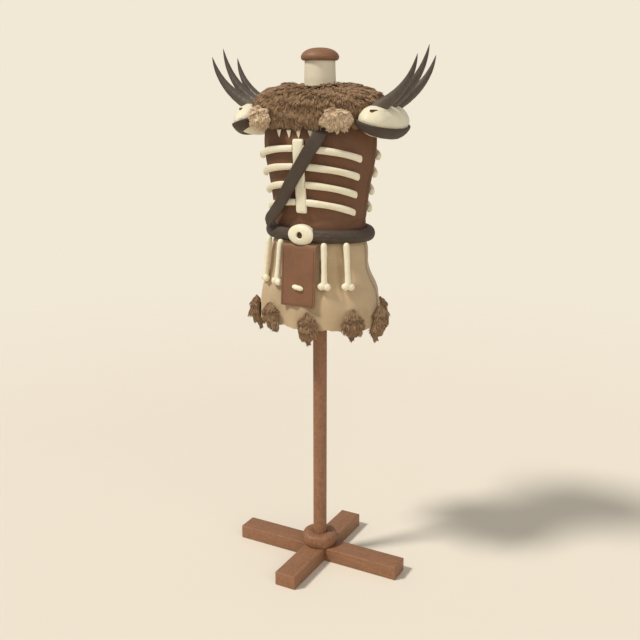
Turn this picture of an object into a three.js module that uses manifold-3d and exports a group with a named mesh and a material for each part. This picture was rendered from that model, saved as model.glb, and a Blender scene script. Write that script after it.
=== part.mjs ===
// Bone armour on a limbless dress form and its wooden stand.
// Millimetres. Origin on the floor under the pole, +Z up, -Y the wearer's front, +X the wearer's left.
import * as THREE from 'three';
import { mergeVertices } from 'three/addons/utils/BufferGeometryUtils.js';
import Module from 'manifold-3d';

const wasm = await Module();
wasm.setup();

// Gaps and walls
const SEAM = 0.3;
const SEAT = 0.4;
const LEATHER = 2.5;
const HIDE = 3;
const FORM_CLEARANCE = 1.1;
const ON_VEST = 0.9;

// Segments round the body, so that the walls that lie on each other share their facets
const ROUND = 32;
const DEPTH_RATIO = 0.7;

// Stand
const BEAM_X_LENGTH = 600;
const BEAM_Y_LENGTH = 484;
const BEAM_WIDTH = 73.3;
const BEAM_HEIGHT = 46.6;
const HUB_RADIUS = 58;
const HUB_HEIGHT = 42;
const HUB_SOCKET_FLOOR = 12;
const POLE_RADIUS = 22.65;
const POLE_SIDES = 20;
const TURNED_SIDES = 24;
const FORM_BOTTOM = 900;
const NECK = { radius: 47.5, z: 1600, topRadius: 46 };
const NECK_TOP = 1646.4;
const CAP_TOP = 1684.3;

// The form's hips under the skirt: height, half width and half depth
const FORM_HIPS = [
  { z: FORM_BOTTOM, a: 118, b: 80 },
  { z: 908, a: 152, b: 106 },
  { z: 930, a: 165, b: 115 },
  { z: 970, a: 168, b: 117 },
  { z: 1000, a: 164, b: 114.5 },
  { z: 1025, a: 157, b: 110 },
  { z: 1060, a: 153.5, b: 107.5 },
  { z: 1100, a: 147, b: 102.5 },
];

// The neck cap's profile: radius and height above its flat underside
const CAP_PROFILE = [
  { radius: 50, rise: 0 },
  { radius: 55.5, rise: 4 },
  { radius: 57.6, rise: 10.5 },
  { radius: 54, rise: 20 },
  { radius: 44, rise: 28 },
  { radius: 28, rise: 34.5 },
];

// Heights on the body
const SKIRT_HEM = 850;
const SKIRT_TOP = 1129;
const VEST_HEM = 1133;
const VEST_TOP = 1541;
const WAIST_A = 150;
const BELT_MIDDLE = 1136;
const BELT_HALF_HEIGHT = 21;
const BELT_CLEARANCE = 1.5;
const BELT_REACH_SIDE = 30;
const BELT_REACH_FRONT = 21;

// The belt's section: share of the way out from the body, and share of the half height
const BELT_SECTION = [
  { share: 0, height: -0.75 },
  { share: 0.14, height: -0.95 },
  { share: 0.42, height: -1 },
  { share: 0.7, height: -0.86 },
  { share: 0.92, height: -0.48 },
  { share: 1, height: 0 },
  { share: 0.92, height: 0.48 },
  { share: 0.7, height: 0.86 },
  { share: 0.42, height: 1 },
  { share: 0.14, height: 0.95 },
  { share: 0, height: 0.75 },
];

// The torso's outer leather surface: height, half width and the half depth over the half width
const TORSO = [
  { z: 1100, a: 149.5, ratio: DEPTH_RATIO },
  { z: 1133, a: WAIST_A, ratio: DEPTH_RATIO },
  { z: 1165, a: 151, ratio: DEPTH_RATIO },
  { z: 1220, a: 156, ratio: DEPTH_RATIO },
  { z: 1270, a: 163, ratio: DEPTH_RATIO },
  { z: 1325, a: 173.5, ratio: DEPTH_RATIO },
  { z: 1362, a: 180.3, ratio: DEPTH_RATIO },
  { z: 1390, a: 183, ratio: DEPTH_RATIO },
  { z: 1425, a: 183, ratio: DEPTH_RATIO },
  { z: 1465, a: 176, ratio: 0.69 },
  { z: 1495, a: 163, ratio: 0.66 },
  { z: 1515, a: 142, ratio: 0.64 },
  { z: 1530, a: 114, ratio: 0.69 },
  { z: 1541, a: 92, ratio: 0.74 },
  { z: 1556, a: 65, ratio: 0.9 },
  { z: 1575, a: 53, ratio: 1 },
];

// The skirt's outer hide surface
const SKIRT = [
  { z: SKIRT_HEM, a: 205 },
  { z: 885, a: 204 },
  { z: 920, a: 202.5 },
  { z: 942, a: 199.5 },
  { z: 962, a: 195 },
  { z: 980, a: 187.5 },
  { z: 1000, a: 176.5 },
  { z: 1020, a: 168 },
  { z: 1042, a: 162.5 },
  { z: 1075, a: 160 },
  { z: 1105, a: 155 },
  { z: 1117, a: 150.4 },
  { z: SKIRT_TOP, a: WAIST_A },
];

// Armholes of the vest, under the skulls
const ARMHOLE = { z: 1482, halfDepth: 54, halfHeight: 37 };

// Soft folds of the skirt: place round the body, depth at the hem (negative is a trough) and spread
const SKIRT_FOLDS = [
  { angle: 36, depth: -4.5, spread: 13 },
  { angle: 68, depth: 3.5, spread: 12 },
  { angle: 108, depth: -4, spread: 14 },
  { angle: 148, depth: 3.5, spread: 13 },
  { angle: 186, depth: -4, spread: 14 },
  { angle: 226, depth: 3.5, spread: 12 },
  { angle: 262, depth: -3.5, spread: 13 },
  { angle: 298, depth: 3, spread: 12 },
  { angle: 332, depth: -2.5, spread: 11 },
];
const FOLD_START = 1090;

// The skirt stands off the right hip, under the outer bone
const HIP_EASE = { angle: 299, spread: 24, z: 1052, reach: 62, depth: 9 };

// Mantle: rings up the inside, over the rim and down the outside
const MANTLE_INNER = [
  { z: 1462, side: 8.5, front: 16 },
  { z: 1488, side: 8.5, front: 16 },
  { z: 1492, side: 1, front: 1 },
  { z: 1495, side: 0.8, front: 0.8 },
  { z: 1515, side: 0.8, front: 0.8 },
  { z: 1530, side: 0.8, front: 0.8 },
  { z: 1541, side: 0.8, front: 0.8 },
  { z: 1556, side: 1, front: 1 },
  { z: 1570, side: 1.5, front: 1.5 },
];
const MANTLE_OUTER = [
  { z: 1579, a: 61, b: 60, lumps: 2 },
  { z: 1583, a: 98, b: 84, lumps: 4 },
  { z: 1569, a: 146, b: 108, lumps: 6 },
  { z: 1555, a: 180, b: 129, lumps: 6 },
  { z: 1535, a: 200, b: 145, lumps: 5 },
  { z: 1511, a: 204, b: 151, lumps: 5 },
  { z: 1490, a: 200, b: 150, lumps: 4 },
  { z: 1472, a: 194, b: 147, lumps: 4 },
  { z: 1458, a: 192, b: 145.5, lumps: 3 },
];
const SHOULDER_HEIGHTS = [1380, 1425, 1465, 1495];
const MANTLE_RISE = 0.9;
const MANTLE_SQUARENESS = 2.5;
const MANTLE_NOTCH_DEPTH = 10;
const MANTLE_NOTCH_SPREAD = 22;

// Bones on the chest and back
const STERNUM_TOP = 1424.5;
const STERNUM_BOTTOM = 1205;
const STERNUM_HALF_WIDTH = 17.5;
const STERNUM_THICKNESS = 14;
const STERNUM_HEIGHTS = [STERNUM_TOP, 1412, 1380, 1325, 1270, 1220, 1210, STERNUM_BOTTOM];
const STERNUM_END = { narrow: 0.82, thin: 0.86 };

// The sternum's section as shares of its half width and thickness, from the vest outwards
const STERNUM_SECTION = [
  [-0.8, 0],
  [0.8, 0],
  [1, 0.29],
  [1, 0.57],
  [0.63, 1],
  [-0.63, 1],
  [-1, 0.57],
  [-1, 0.29],
];
const RIB_TOP_ROW = 1397;
const RIB_SPACING = 53.2;
const RIB_ROWS = 4;
const RIB_HALF_HEIGHT = 10.5;
const RIB_THICKNESS = 16;
const RIB_END_TURN = 1.2;
const RIB_END_SIZE = 0.7;
const RIB_GAP = 0.9;

// A rib's section as shares of its thickness and half height, from the vest outwards
const RIB_SECTION = [
  [0, -0.72],
  [0.3, -1],
  [0.72, -0.86],
  [1, -0.3],
  [1, 0.3],
  [0.72, 0.86],
  [0.3, 1],
  [0, 0.72],
];
const RIB_END = 63;
const RIB_DROOP = 30;
const BACK_RIB_END = 115;
const TOOTH_PLACES = [-72, -36, 0, 36];
const TOOTH_TOP = 1452;
const TOOTH_TIP = 1426;
const TOOTH_WIDTH = 16;
const TOOTH_THICKNESS = 9;
const TOOTH_SIDES = 8;

// A tooth from root to tip: share of the way down, and shares of its width and thickness
const TOOTH_SHAPE = [
  { share: 0, width: 0.86, out: 0.8 },
  { share: 0.12, width: 1, out: 1 },
  { share: 0.55, width: 0.7, out: 0.86 },
  { share: 1, width: 0.14, out: 0.4 },
];

// Strap: place round the body, height and lift off the vest
const STRAP_WIDTH = 41;
const STRAP_THICKNESS = 8;
const STRAP_OVER_RIBS = 19;
const STRAP_ROOM = 15;
const STRAP_HIDDEN = 1490;
const STRAP_FRONT = [
  { angle: 25.4, z: 1461, lift: 1.1 },
  { angle: 22, z: 1444, lift: 4 },
  { angle: 18, z: 1423, lift: 14 },
  { angle: 13, z: 1397, lift: STRAP_OVER_RIBS },
  { angle: 7.5, z: 1367, lift: STRAP_OVER_RIBS },
  { angle: 1.3, z: 1336, lift: STRAP_OVER_RIBS },
  { angle: -6, z: 1303, lift: STRAP_OVER_RIBS },
  { angle: -13.8, z: 1269, lift: STRAP_OVER_RIBS },
  { angle: -20.5, z: 1243, lift: STRAP_OVER_RIBS },
  { angle: -27.9, z: 1217.4, lift: STRAP_OVER_RIBS },
  { angle: -36, z: 1195, lift: 22 },
  { angle: -43, z: 1177, lift: 27 },
  { angle: -49, z: 1161, lift: 27.5 },
];

// Boss, flap and toggle
const BOSS = { y: -115.5, z: 1139.3, halfWidth: 45.5, halfDepth: 21, halfHeight: 32 };
const BOSS_BACK = -109;
const BOSS_HOLE_RADIUS = 10.5;
const FLAP_WIDTH = 117;
const FLAP_THICKNESS = 4.5;
const SCALLOP_GAP = 1.2;
const FLAP_LIP = { back: -112, z: 1112.3 };
const FLAP_PATH = [
  { y: -127, z: 1112.3 },
  { y: -132, z: 1108 },
  { y: -134, z: 1100 },
  { y: -138.5, z: 1030 },
  { y: -142.5, z: 965 },
  { y: -145.2, z: 921 },
];
const TOGGLE = { z: 980, halfWidth: 20, halfHeight: 9, depth: 9, tilt: 8 };

// Hanging bones: place of the hinge under the belt and of the knuckle on the skirt
const HANGING_BONES = [
  { name: 'bone_right_outer', top: -48.2, bottom: -48.5, hingeZ: 1111.4 },
  { name: 'bone_right_inner', top: -24.5, bottom: -25.1, hingeZ: 1110.5 },
  { name: 'bone_left_inner', top: 24.5, bottom: 25.1, hingeZ: 1110.5 },
  { name: 'bone_left_outer', top: 48.2, bottom: 48.5, hingeZ: 1111.4 },
];
const BONE_RADIUS = 10;
const BONE_KNUCKLE_Z = 989;
const BONE_KNUCKLE_RADIUS = 12.3;
const BONE_KNUCKLE_SPACING = 8.5;
const BONE_KNUCKLE_LIFT = 14.5;
const BONE_SIDES = 10;
const BONE_END = 4;

// A hanging bone: its round head above the hinge, and its shaft as shares of the way down to the knuckle
const BONE_HEAD = [
  { radius: 0, rise: BONE_RADIUS },
  { radius: 5.5, rise: 8.3 },
  { radius: 9, rise: 4.3 },
  { radius: BONE_RADIUS, rise: 0 },
];
const BONE_SHAFT = [
  { radius: 9.6, share: 0.25 },
  { radius: 8.8, share: 0.55 },
  { radius: 9.6, share: 0.85 },
  { radius: 9.6, share: 1 },
];

// Hem tufts: place round the hem, size, height of the middle, and the shift of the tip sideways and inwards
const HEM_TUFTS = [
  { angle: 10, width: 70, height: 106, z: 863, lean: 5, tuck: 2 },
  { angle: 50, width: 84, height: 98, z: 877, lean: 1, tuck: 4 },
  { angle: 87, width: 80, height: 116, z: 870, lean: -26, tuck: 8 },
  { angle: 130, width: 70, height: 104, z: 874, lean: 5, tuck: 6 },
  { angle: 170, width: 74, height: 108, z: 868, lean: -4, tuck: 4 },
  { angle: 210, width: 68, height: 110, z: 874, lean: 5, tuck: 6 },
  { angle: 250, width: 74, height: 100, z: 870, lean: -3, tuck: 6 },
  { angle: 290, width: 70, height: 108, z: 868, lean: 6, tuck: 17 },
  { angle: 331, width: 70, height: 98, z: 879, lean: 28, tuck: 4 },
];
// A fur clump from top to tip: share of its half height, share of its width, and how uneven its rim is
const CLUMP_ROWS = [
  { height: 0.98, size: 0.16, bump: 0 },
  { height: 0.5, size: 0.8, bump: 5 },
  { height: 0, size: 1, bump: 5 },
  { height: -0.48, size: 0.88, bump: 5 },
  { height: -0.98, size: 0.14, bump: 0 },
];
const CLUMP_SIDES = 7;
const CLUMP_TWIST = 0.35;
const CLUMP_UNEVEN = 0.1;
const HEM_TUFT_LIFT = 13;
const HEM_TUFT_HALF_DEPTH = 26;
const TUFT_REACH = 980;

// Tan tufts on the mantle's front
const TAN_TUFT = {
  x: 127,
  y: -137,
  z: 1484,
  halfWidth: 50,
  halfDepth: 31,
  halfHeight: 36,
  turn: 30,
  lean: 4,
};

// Shoulder skulls, with the axis from front to back and the outer side tipped down
const SKULL = { x: 212.5, y: 0, z: 1476.5, halfWidth: 62, halfLength: 124, halfHeight: 51, tip: 16 };
const SOCKET = [
  { y: -104, z: 1513 },
  { y: -76, z: 1508 },
  { y: -100, z: 1499 },
];
const SOCKET_FLOOR_X = 214;
const RIM_THICKNESS = 9;
const RIM_TOP_DROP = 4;
const RIM_LOW = { x: 165, z: 1470, slope: 0.5 };

// Horns: root and tip of each of the three on a skull, and the point that bends it
const SIDE_HORN = { rootX: 224, rootZ: 1519, bendX: 321, bendZ: 1568, tipX: 340.5, tipZ: 1660 };
const MIDDLE_HORN = { rootX: 228, rootZ: 1522, bendX: 327, bendZ: 1580, tipX: 347, tipZ: 1687 };
const HORNS = [
  { ...SIDE_HORN, name: 'front', rootY: -50, tipY: -70.5 },
  { ...MIDDLE_HORN, name: 'middle', rootY: 0, tipY: 0 },
  { ...SIDE_HORN, name: 'rear', rootY: 50, tipY: 70.5 },
];
const HORN_BEND_SHARE = 0.6;
const HORN_SINK = 28;
const HORN_TIP_RADIUS = 0.8;
const HORN_RADIUS = 20;
const HORN_TAPER = 0.72;
const HORN_STATIONS = 9;
const HORN_SIDES = 8;

// Finishes
const finish = (name, color, roughness, metalness = 0) => {
  const material = new THREE.MeshStandardMaterial({ color, roughness, metalness });
  material.name = name;
  return material;
};
const VEST_LEATHER = finish('vest_leather', 0x69462f, 0.7);
const FLAP_LEATHER = finish('flap_leather', 0x865a44, 0.65);
const DARK_LEATHER = finish('dark_leather', 0x463a31, 0.6);
const TANNED_HIDE = finish('tanned_hide', 0xc4a37b, 0.85);
const BROWN_FUR = finish('brown_fur', 0x7d6142, 0.95);
const TAN_FUR = finish('tan_fur', 0xd0ab82, 0.95);
const BONE = finish('bone', 0xf0e6c4, 0.55);
const HORN = finish('horn', 0x554a40, 0.45);
const FORM_FABRIC = finish('form_fabric', 0xf2e8c8, 0.9);
const STAND_WOOD = finish('stand_wood', 0x8a5a3c, 0.6);

const armour = new THREE.Group();
armour.name = 'bone_armour';

function addPiece(name, geometry, material) {
  const mesh = new THREE.Mesh(geometry, material);
  mesh.name = name;
  armour.add(mesh);
  return mesh;
}

// Small numeric helpers
const radians = (degrees) => (degrees * Math.PI) / 180;
const mix = (low, high, share) => low + (high - low) * share;

function lookUp(rows, z, column) {
  if (z <= rows[0].z) {
    return rows[0][column];
  }
  for (let i = 1; i < rows.length; i += 1) {
    if (z <= rows[i].z) {
      const share = (z - rows[i - 1].z) / (rows[i].z - rows[i - 1].z);
      return mix(rows[i - 1][column], rows[i][column], share);
    }
  }
  return rows[rows.length - 1][column];
}

// A repeatable number between -1 and 1 for the unevenness of fur and horn
function uneven(seed) {
  const value = Math.sin(seed * 127.1 + 11.7) * 43758.5453;
  return 2 * (value - Math.floor(value)) - 1;
}

// Solids
const MERGE_DISTANCE = 1e-4;

function bareOf(geometry) {
  const bare = geometry.clone();
  bare.deleteAttribute('normal');
  bare.deleteAttribute('uv');
  return bare;
}

// A three.js shape with its seams merged and its faces pointing out
function closed(geometry) {
  return outward(mergeVertices(bareOf(geometry), MERGE_DISTANCE));
}

function solidOf(geometry) {
  const merged = mergeVertices(bareOf(geometry), MERGE_DISTANCE);
  return new wasm.Manifold(new wasm.Mesh({
    numProp: 3,
    vertProperties: Float32Array.from(merged.attributes.position.array),
    triVerts: Uint32Array.from(merged.index.array),
  }));
}

function geometryOf(solid) {
  const mesh = solid.getMesh();
  const geometry = new THREE.BufferGeometry();
  geometry.setAttribute('position', new THREE.BufferAttribute(Float32Array.from(mesh.vertProperties), 3));
  geometry.setIndex(new THREE.BufferAttribute(Uint32Array.from(mesh.triVerts), 1));
  geometry.computeVertexNormals();
  return geometry;
}

// Rings of points joined in order; the ends are capped unless the last ring is joined to the first
function loft(rings, wrapped = false) {
  const positions = [];
  const index = [];
  const sides = rings[0].length;
  for (const ring of rings) {
    for (const point of ring) {
      positions.push(point.x, point.y, point.z);
    }
  }
  const spans = wrapped ? rings.length : rings.length - 1;
  for (let r = 0; r < spans; r += 1) {
    const here = r * sides;
    const next = ((r + 1) % rings.length) * sides;
    for (let s = 0; s < sides; s += 1) {
      const t = (s + 1) % sides;
      index.push(here + s, here + t, next + t, here + s, next + t, next + s);
    }
  }
  if (!wrapped) {
    const ends = [
      { ring: rings[0], start: 0, flip: true },
      { ring: rings[rings.length - 1], start: (rings.length - 1) * sides, flip: false },
    ];
    for (const end of ends) {
      const centre = new THREE.Vector3();
      end.ring.forEach((point) => centre.add(point));
      centre.divideScalar(sides);
      const middle = positions.length / 3;
      positions.push(centre.x, centre.y, centre.z);
      for (let s = 0; s < sides; s += 1) {
        const t = (s + 1) % sides;
        if (end.flip) {
          index.push(middle, end.start + t, end.start + s);
        } else {
          index.push(middle, end.start + s, end.start + t);
        }
      }
    }
  }
  const geometry = new THREE.BufferGeometry();
  geometry.setAttribute('position', new THREE.Float32BufferAttribute(positions, 3));
  geometry.setIndex(index);
  return outward(geometry);
}

// Turns a closed mesh so that its faces point out
function outward(geometry) {
  const p = geometry.attributes.position.array;
  const index = geometry.index.array;
  let volume = 0;
  for (let i = 0; i < index.length; i += 3) {
    const [a, b, c] = [index[i] * 3, index[i + 1] * 3, index[i + 2] * 3];
    volume += p[a] * (p[b + 1] * p[c + 2] - p[b + 2] * p[c + 1]);
    volume -= p[a + 1] * (p[b] * p[c + 2] - p[b + 2] * p[c]);
    volume += p[a + 2] * (p[b] * p[c + 1] - p[b + 1] * p[c]);
  }
  if (volume < 0) {
    for (let i = 0; i < index.length; i += 3) {
      [index[i + 1], index[i + 2]] = [index[i + 2], index[i + 1]];
    }
  }
  geometry.computeVertexNormals();
  return geometry;
}

function box(low, high) {
  const geometry = new THREE.BoxGeometry(high.x - low.x, high.y - low.y, high.z - low.z);
  geometry.translate((low.x + high.x) / 2, (low.y + high.y) / 2, (low.z + high.z) / 2);
  return solidOf(geometry);
}

function ellipsoid(halfX, halfY, halfZ, across, down) {
  const geometry = new THREE.SphereGeometry(1, across, down);
  geometry.rotateX(Math.PI / 2);
  geometry.scale(halfX, halfY, halfZ);
  return geometry;
}

// A lathed piece that stands on the Z axis: points are radius and height, from the axis to the axis
function turned(points, sides) {
  const geometry = new THREE.LatheGeometry(points.map(([r, z]) => new THREE.Vector2(r, z)), sides);
  geometry.rotateX(Math.PI / 2);
  return geometry;
}

// Places round the body: 0 is the front, 90 the wearer's left side
function onOval(angle, a, b, z) {
  return new THREE.Vector3(a * Math.sin(radians(angle)), -b * Math.cos(radians(angle)), z);
}

// The level direction that faces away from the body
function outwardAt(angle) {
  const turn = radians(angle);
  return new THREE.Vector3(Math.sin(turn) * DEPTH_RATIO, -Math.cos(turn), 0).normalize();
}

function ovalRing(a, b, z) {
  const ring = [];
  for (let s = 0; s < ROUND; s += 1) {
    ring.push(onOval((s * 360) / ROUND, a, b, z));
  }
  return ring;
}

function torsoSize(z, lift) {
  const a = lookUp(TORSO, z, 'a');
  return { a: a + lift, b: a * lookUp(TORSO, z, 'ratio') + lift };
}

function onTorso(angle, z, lift) {
  const size = torsoSize(z, lift);
  return onOval(angle, size.a, size.b, z);
}

function torsoRing(z, lift) {
  const size = torsoSize(z, lift);
  return ovalRing(size.a, size.b, z);
}

// Stand: two half-lapped beams, the hub with a socket, the pole, the form and its cap
function buildStand() {
  const halfWidth = BEAM_WIDTH / 2;
  const lap = BEAM_HEIGHT / 2;
  const beamX = box(
    { x: -BEAM_X_LENGTH / 2, y: -halfWidth, z: 0 },
    { x: BEAM_X_LENGTH / 2, y: halfWidth, z: BEAM_HEIGHT },
  ).subtract(box(
    { x: -halfWidth - SEAM, y: -BEAM_WIDTH, z: lap },
    { x: halfWidth + SEAM, y: BEAM_WIDTH, z: BEAM_HEIGHT + 1 },
  ));
  const beamY = box(
    { x: -halfWidth, y: -BEAM_Y_LENGTH / 2, z: 0 },
    { x: halfWidth, y: BEAM_Y_LENGTH / 2, z: BEAM_HEIGHT },
  ).subtract(box(
    { x: -BEAM_WIDTH, y: -halfWidth - SEAM, z: -1 },
    { x: BEAM_WIDTH, y: halfWidth + SEAM, z: lap + SEAM },
  ));
  addPiece('beam_x', geometryOf(beamX), STAND_WOOD);
  addPiece('beam_y', geometryOf(beamY), STAND_WOOD);

  const hubBottom = BEAM_HEIGHT + SEAM;
  const hubTop = hubBottom + HUB_HEIGHT;
  const socketFloor = hubBottom + HUB_SOCKET_FLOOR;
  const hub = turned([
    [0, hubBottom],
    [HUB_RADIUS, hubBottom],
    [HUB_RADIUS, hubTop],
    [POLE_RADIUS + SEAM, hubTop],
    [POLE_RADIUS + SEAM, socketFloor],
    [0, socketFloor],
  ], TURNED_SIDES);
  addPiece('hub', geometryOf(solidOf(closed(hub))), STAND_WOOD);

  const poleBottom = socketFloor + SEAM;
  const poleTop = FORM_BOTTOM - SEAM;
  const pole = new THREE.CylinderGeometry(POLE_RADIUS, POLE_RADIUS, poleTop - poleBottom, POLE_SIDES);
  pole.rotateX(Math.PI / 2);
  pole.translate(0, 0, (poleTop + poleBottom) / 2);
  addPiece('pole', pole, STAND_WOOD);

  // The hips are a form's own, so the skirt flares away from them
  const rings = FORM_HIPS.map(({ z, a, b }) => ovalRing(a, b, z));
  for (const row of TORSO.slice(1)) {
    rings.push(torsoRing(row.z, -LEATHER - FORM_CLEARANCE));
  }
  rings.push(ovalRing(NECK.radius, NECK.radius, NECK.z));
  rings.push(ovalRing(NECK.topRadius, NECK.topRadius, NECK_TOP));
  addPiece('form', loft(rings), FORM_FABRIC);

  const capBottom = NECK_TOP + SEAM;
  const cap = turned([
    [0, capBottom],
    ...CAP_PROFILE.map(({ radius, rise }) => [radius, capBottom + rise]),
    [0, CAP_TOP],
  ], TURNED_SIDES);
  addPiece('cap', geometryOf(solidOf(closed(cap))), STAND_WOOD);
}

// A cloth wall that is open at the top and the bottom: rings down the inside and up the outside
function wall(heights, ringAt, thickness) {
  const outer = heights.map((z) => ringAt(z, 0));
  const inner = [...heights].reverse().map((z) => ringAt(z, -thickness));
  return solidOf(loft([...outer, ...inner], true));
}

// Cuts a wall at the side seams into its front and its back
function splitAtSides(solid) {
  const reach = 400;
  const front = solid.intersect(box({ x: -reach, y: -reach, z: 0 }, { x: reach, y: -SEAM / 2, z: 2000 }));
  const back = solid.intersect(box({ x: -reach, y: SEAM / 2, z: 0 }, { x: reach, y: reach, z: 2000 }));
  return [front, back];
}

// Vest: a leather tube with the neck open at the top and two armholes
function buildVest() {
  const heights = TORSO.map((row) => row.z).filter((z) => z >= VEST_HEM && z <= VEST_TOP);
  const armhole = new THREE.CylinderGeometry(1, 1, 600, 16);
  armhole.rotateZ(Math.PI / 2);
  armhole.scale(1, ARMHOLE.halfDepth, ARMHOLE.halfHeight);
  armhole.translate(0, 0, ARMHOLE.z);
  const shell = wall(heights, torsoRing, LEATHER).subtract(solidOf(armhole));
  const [front, back] = splitAtSides(shell);
  addPiece('vest_front', geometryOf(front), VEST_LEATHER);
  addPiece('vest_back', geometryOf(back), VEST_LEATHER);
}

// Skirt: a flared hide tube whose soft folds deepen towards the hem
function foldAt(angle, z) {
  let depth = 0;
  for (const fold of SKIRT_FOLDS) {
    const away = ((angle - fold.angle + 540) % 360) - 180;
    depth += fold.depth * Math.exp(-((away / fold.spread) ** 2));
  }
  const share = THREE.MathUtils.clamp((FOLD_START - z) / (FOLD_START - SKIRT_HEM), 0, 1);
  const off = ((angle - HIP_EASE.angle + 540) % 360) - 180;
  const level = Math.max(1 - ((z - HIP_EASE.z) / HIP_EASE.reach) ** 2, 0);
  const ease = HIP_EASE.depth * level * Math.exp(-((off / HIP_EASE.spread) ** 2));
  return depth * share ** 0.6 + ease;
}

function skirtSize(angle, z, lift) {
  const a = lookUp(SKIRT, z, 'a');
  const extra = lift + foldAt(angle, z);
  return { a: a + extra, b: a * DEPTH_RATIO + extra };
}

function onSkirt(angle, z, lift) {
  const size = skirtSize(angle, z, lift);
  return onOval(angle, size.a, size.b, z);
}

function skirtRing(z, lift) {
  const ring = [];
  for (let s = 0; s < ROUND; s += 1) {
    ring.push(onSkirt((s * 360) / ROUND, z, lift));
  }
  return ring;
}

function buildSkirt() {
  const heights = SKIRT.map((row) => row.z);
  const [front, back] = splitAtSides(wall(heights, skirtRing, HIDE));
  addPiece('skirt_front', geometryOf(front), TANNED_HIDE);
  addPiece('skirt_back', geometryOf(back), TANNED_HIDE);
}

// Belt: a rolled ring with a flat inner side; grow widens it all round to cut its neighbours clear of it
function beltSolid(grow) {
  const rings = BELT_SECTION.map(({ share, height }) => {
    const z = BELT_MIDDLE + height * (BELT_HALF_HEIGHT + grow);
    const lift = BELT_CLEARANCE + (share > 0.2 ? grow : -grow);
    return ovalRing(
      WAIST_A + lift + share * BELT_REACH_SIDE,
      WAIST_A * DEPTH_RATIO + lift + share * BELT_REACH_FRONT,
      z,
    );
  });
  return solidOf(loft(rings, true));
}

function buildBelt() {
  addPiece('belt', geometryOf(beltSolid(0)), DARK_LEATHER);

  const round = ellipsoid(BOSS.halfWidth, BOSS.halfDepth, BOSS.halfHeight, 18, 10);
  round.translate(0, BOSS.y, BOSS.z);
  const hole = new THREE.CylinderGeometry(BOSS_HOLE_RADIUS, BOSS_HOLE_RADIUS, 100, 16);
  hole.translate(0, BOSS.y, BOSS.z);
  const boss = solidOf(round)
    .intersect(box({ x: -100, y: -200, z: 1000 }, { x: 100, y: BOSS_BACK, z: 1300 }))
    .subtract(beltSolid(SEAT))
    .subtract(solidOf(hole));
  addPiece('boss', geometryOf(boss), BONE);
}

// Flap: a leather panel whose top turns in under the belt, scalloped round the boss
function buildFlap() {
  const line = [{ y: FLAP_LIP.back, z: FLAP_LIP.z }, ...FLAP_PATH];
  const half = FLAP_THICKNESS / 2;
  const sides = line.map((point, i) => {
    const before = line[Math.max(i - 1, 0)];
    const after = line[Math.min(i + 1, line.length - 1)];
    const along = new THREE.Vector2(after.y - before.y, after.z - before.z).normalize();
    return {
      out: [point.y + along.y * half, point.z - along.x * half],
      in: [point.y - along.y * half, point.z + along.x * half],
    };
  });
  const outline = [...sides.map((s) => s.out), ...sides.map((s) => s.in).reverse()];
  const shape = new THREE.Shape(outline.map(([y, z]) => new THREE.Vector2(y, z)));
  const panel = new THREE.ExtrudeGeometry(shape, { depth: FLAP_WIDTH, bevelEnabled: false });
  // The outline is drawn in Y and Z and pushed along X
  panel.applyMatrix4(new THREE.Matrix4().set(0, 0, 1, -FLAP_WIDTH / 2, 1, 0, 0, 0, 0, 1, 0, 0, 0, 0, 0, 1));
  const scallop = new THREE.CylinderGeometry(1, 1, 200, 24);
  scallop.scale(BOSS.halfWidth + SCALLOP_GAP, 1, BOSS.halfHeight + SCALLOP_GAP);
  scallop.translate(0, BOSS.y, BOSS.z);
  const flap = solidOf(panel).subtract(solidOf(scallop)).subtract(beltSolid(SEAM));
  addPiece('flap', geometryOf(flap), FLAP_LEATHER);

  // Toggle: a low bone oval on the flap
  const [upper, lower] = FLAP_PATH.slice(-3, -1);
  const slope = Math.atan2(upper.y - lower.y, upper.z - lower.z);
  const faceY = mix(lower.y, upper.y, (TOGGLE.z - lower.z) / (upper.z - lower.z)) - half / Math.cos(slope);
  const toggle = solidOf(ellipsoid(TOGGLE.halfWidth, TOGGLE.depth, TOGGLE.halfHeight, 16, 10))
    .intersect(box({ x: -50, y: -50, z: -50 }, { x: 50, y: 0, z: 50 }));
  const piece = geometryOf(toggle);
  piece.rotateY(radians(TOGGLE.tilt));
  piece.rotateX(-slope);
  piece.translate(0, faceY - SEAM, TOGGLE.z);
  addPiece('toggle', piece, BONE);
}

// Sternum: a long bar with chamfered edges that follows the chest
function buildSternum() {
  const rings = STERNUM_HEIGHTS.map((z, i) => {
    const end = i === 0 || i === STERNUM_HEIGHTS.length - 1;
    const narrow = end ? STERNUM_END.narrow : 1;
    const thin = end ? STERNUM_END.thin : 1;
    const size = torsoSize(z, 0);
    return STERNUM_SECTION.map(([side, out]) => new THREE.Vector3(
      side * narrow * STERNUM_HALF_WIDTH,
      -(size.b + ON_VEST + out * thin * STERNUM_THICKNESS),
      z,
    ));
  });
  addPiece('sternum', loft(rings), BONE);
}

// Ribs: bars with a flat back that wrap the torso and droop away from the middle
function ribHeight(row, fromMiddle) {
  return RIB_TOP_ROW - row * RIB_SPACING - RIB_DROOP * (fromMiddle / RIB_END) ** 2;
}

function ribRing(angle, middleZ, size) {
  return RIB_SECTION.map(([out, height]) => {
    const z = middleZ + height * RIB_HALF_HEIGHT * size;
    return onTorso(angle, z, ON_VEST + out * RIB_THICKNESS * mix(1, size, 0.5));
  });
}

function ribBar(row, from, to, middle, steps) {
  const rings = [];
  for (let i = 0; i <= steps; i += 1) {
    const angle = mix(from, to, i / steps);
    rings.push(ribRing(angle, ribHeight(row, Math.abs(angle - middle)), 1));
  }
  return rings;
}

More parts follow.
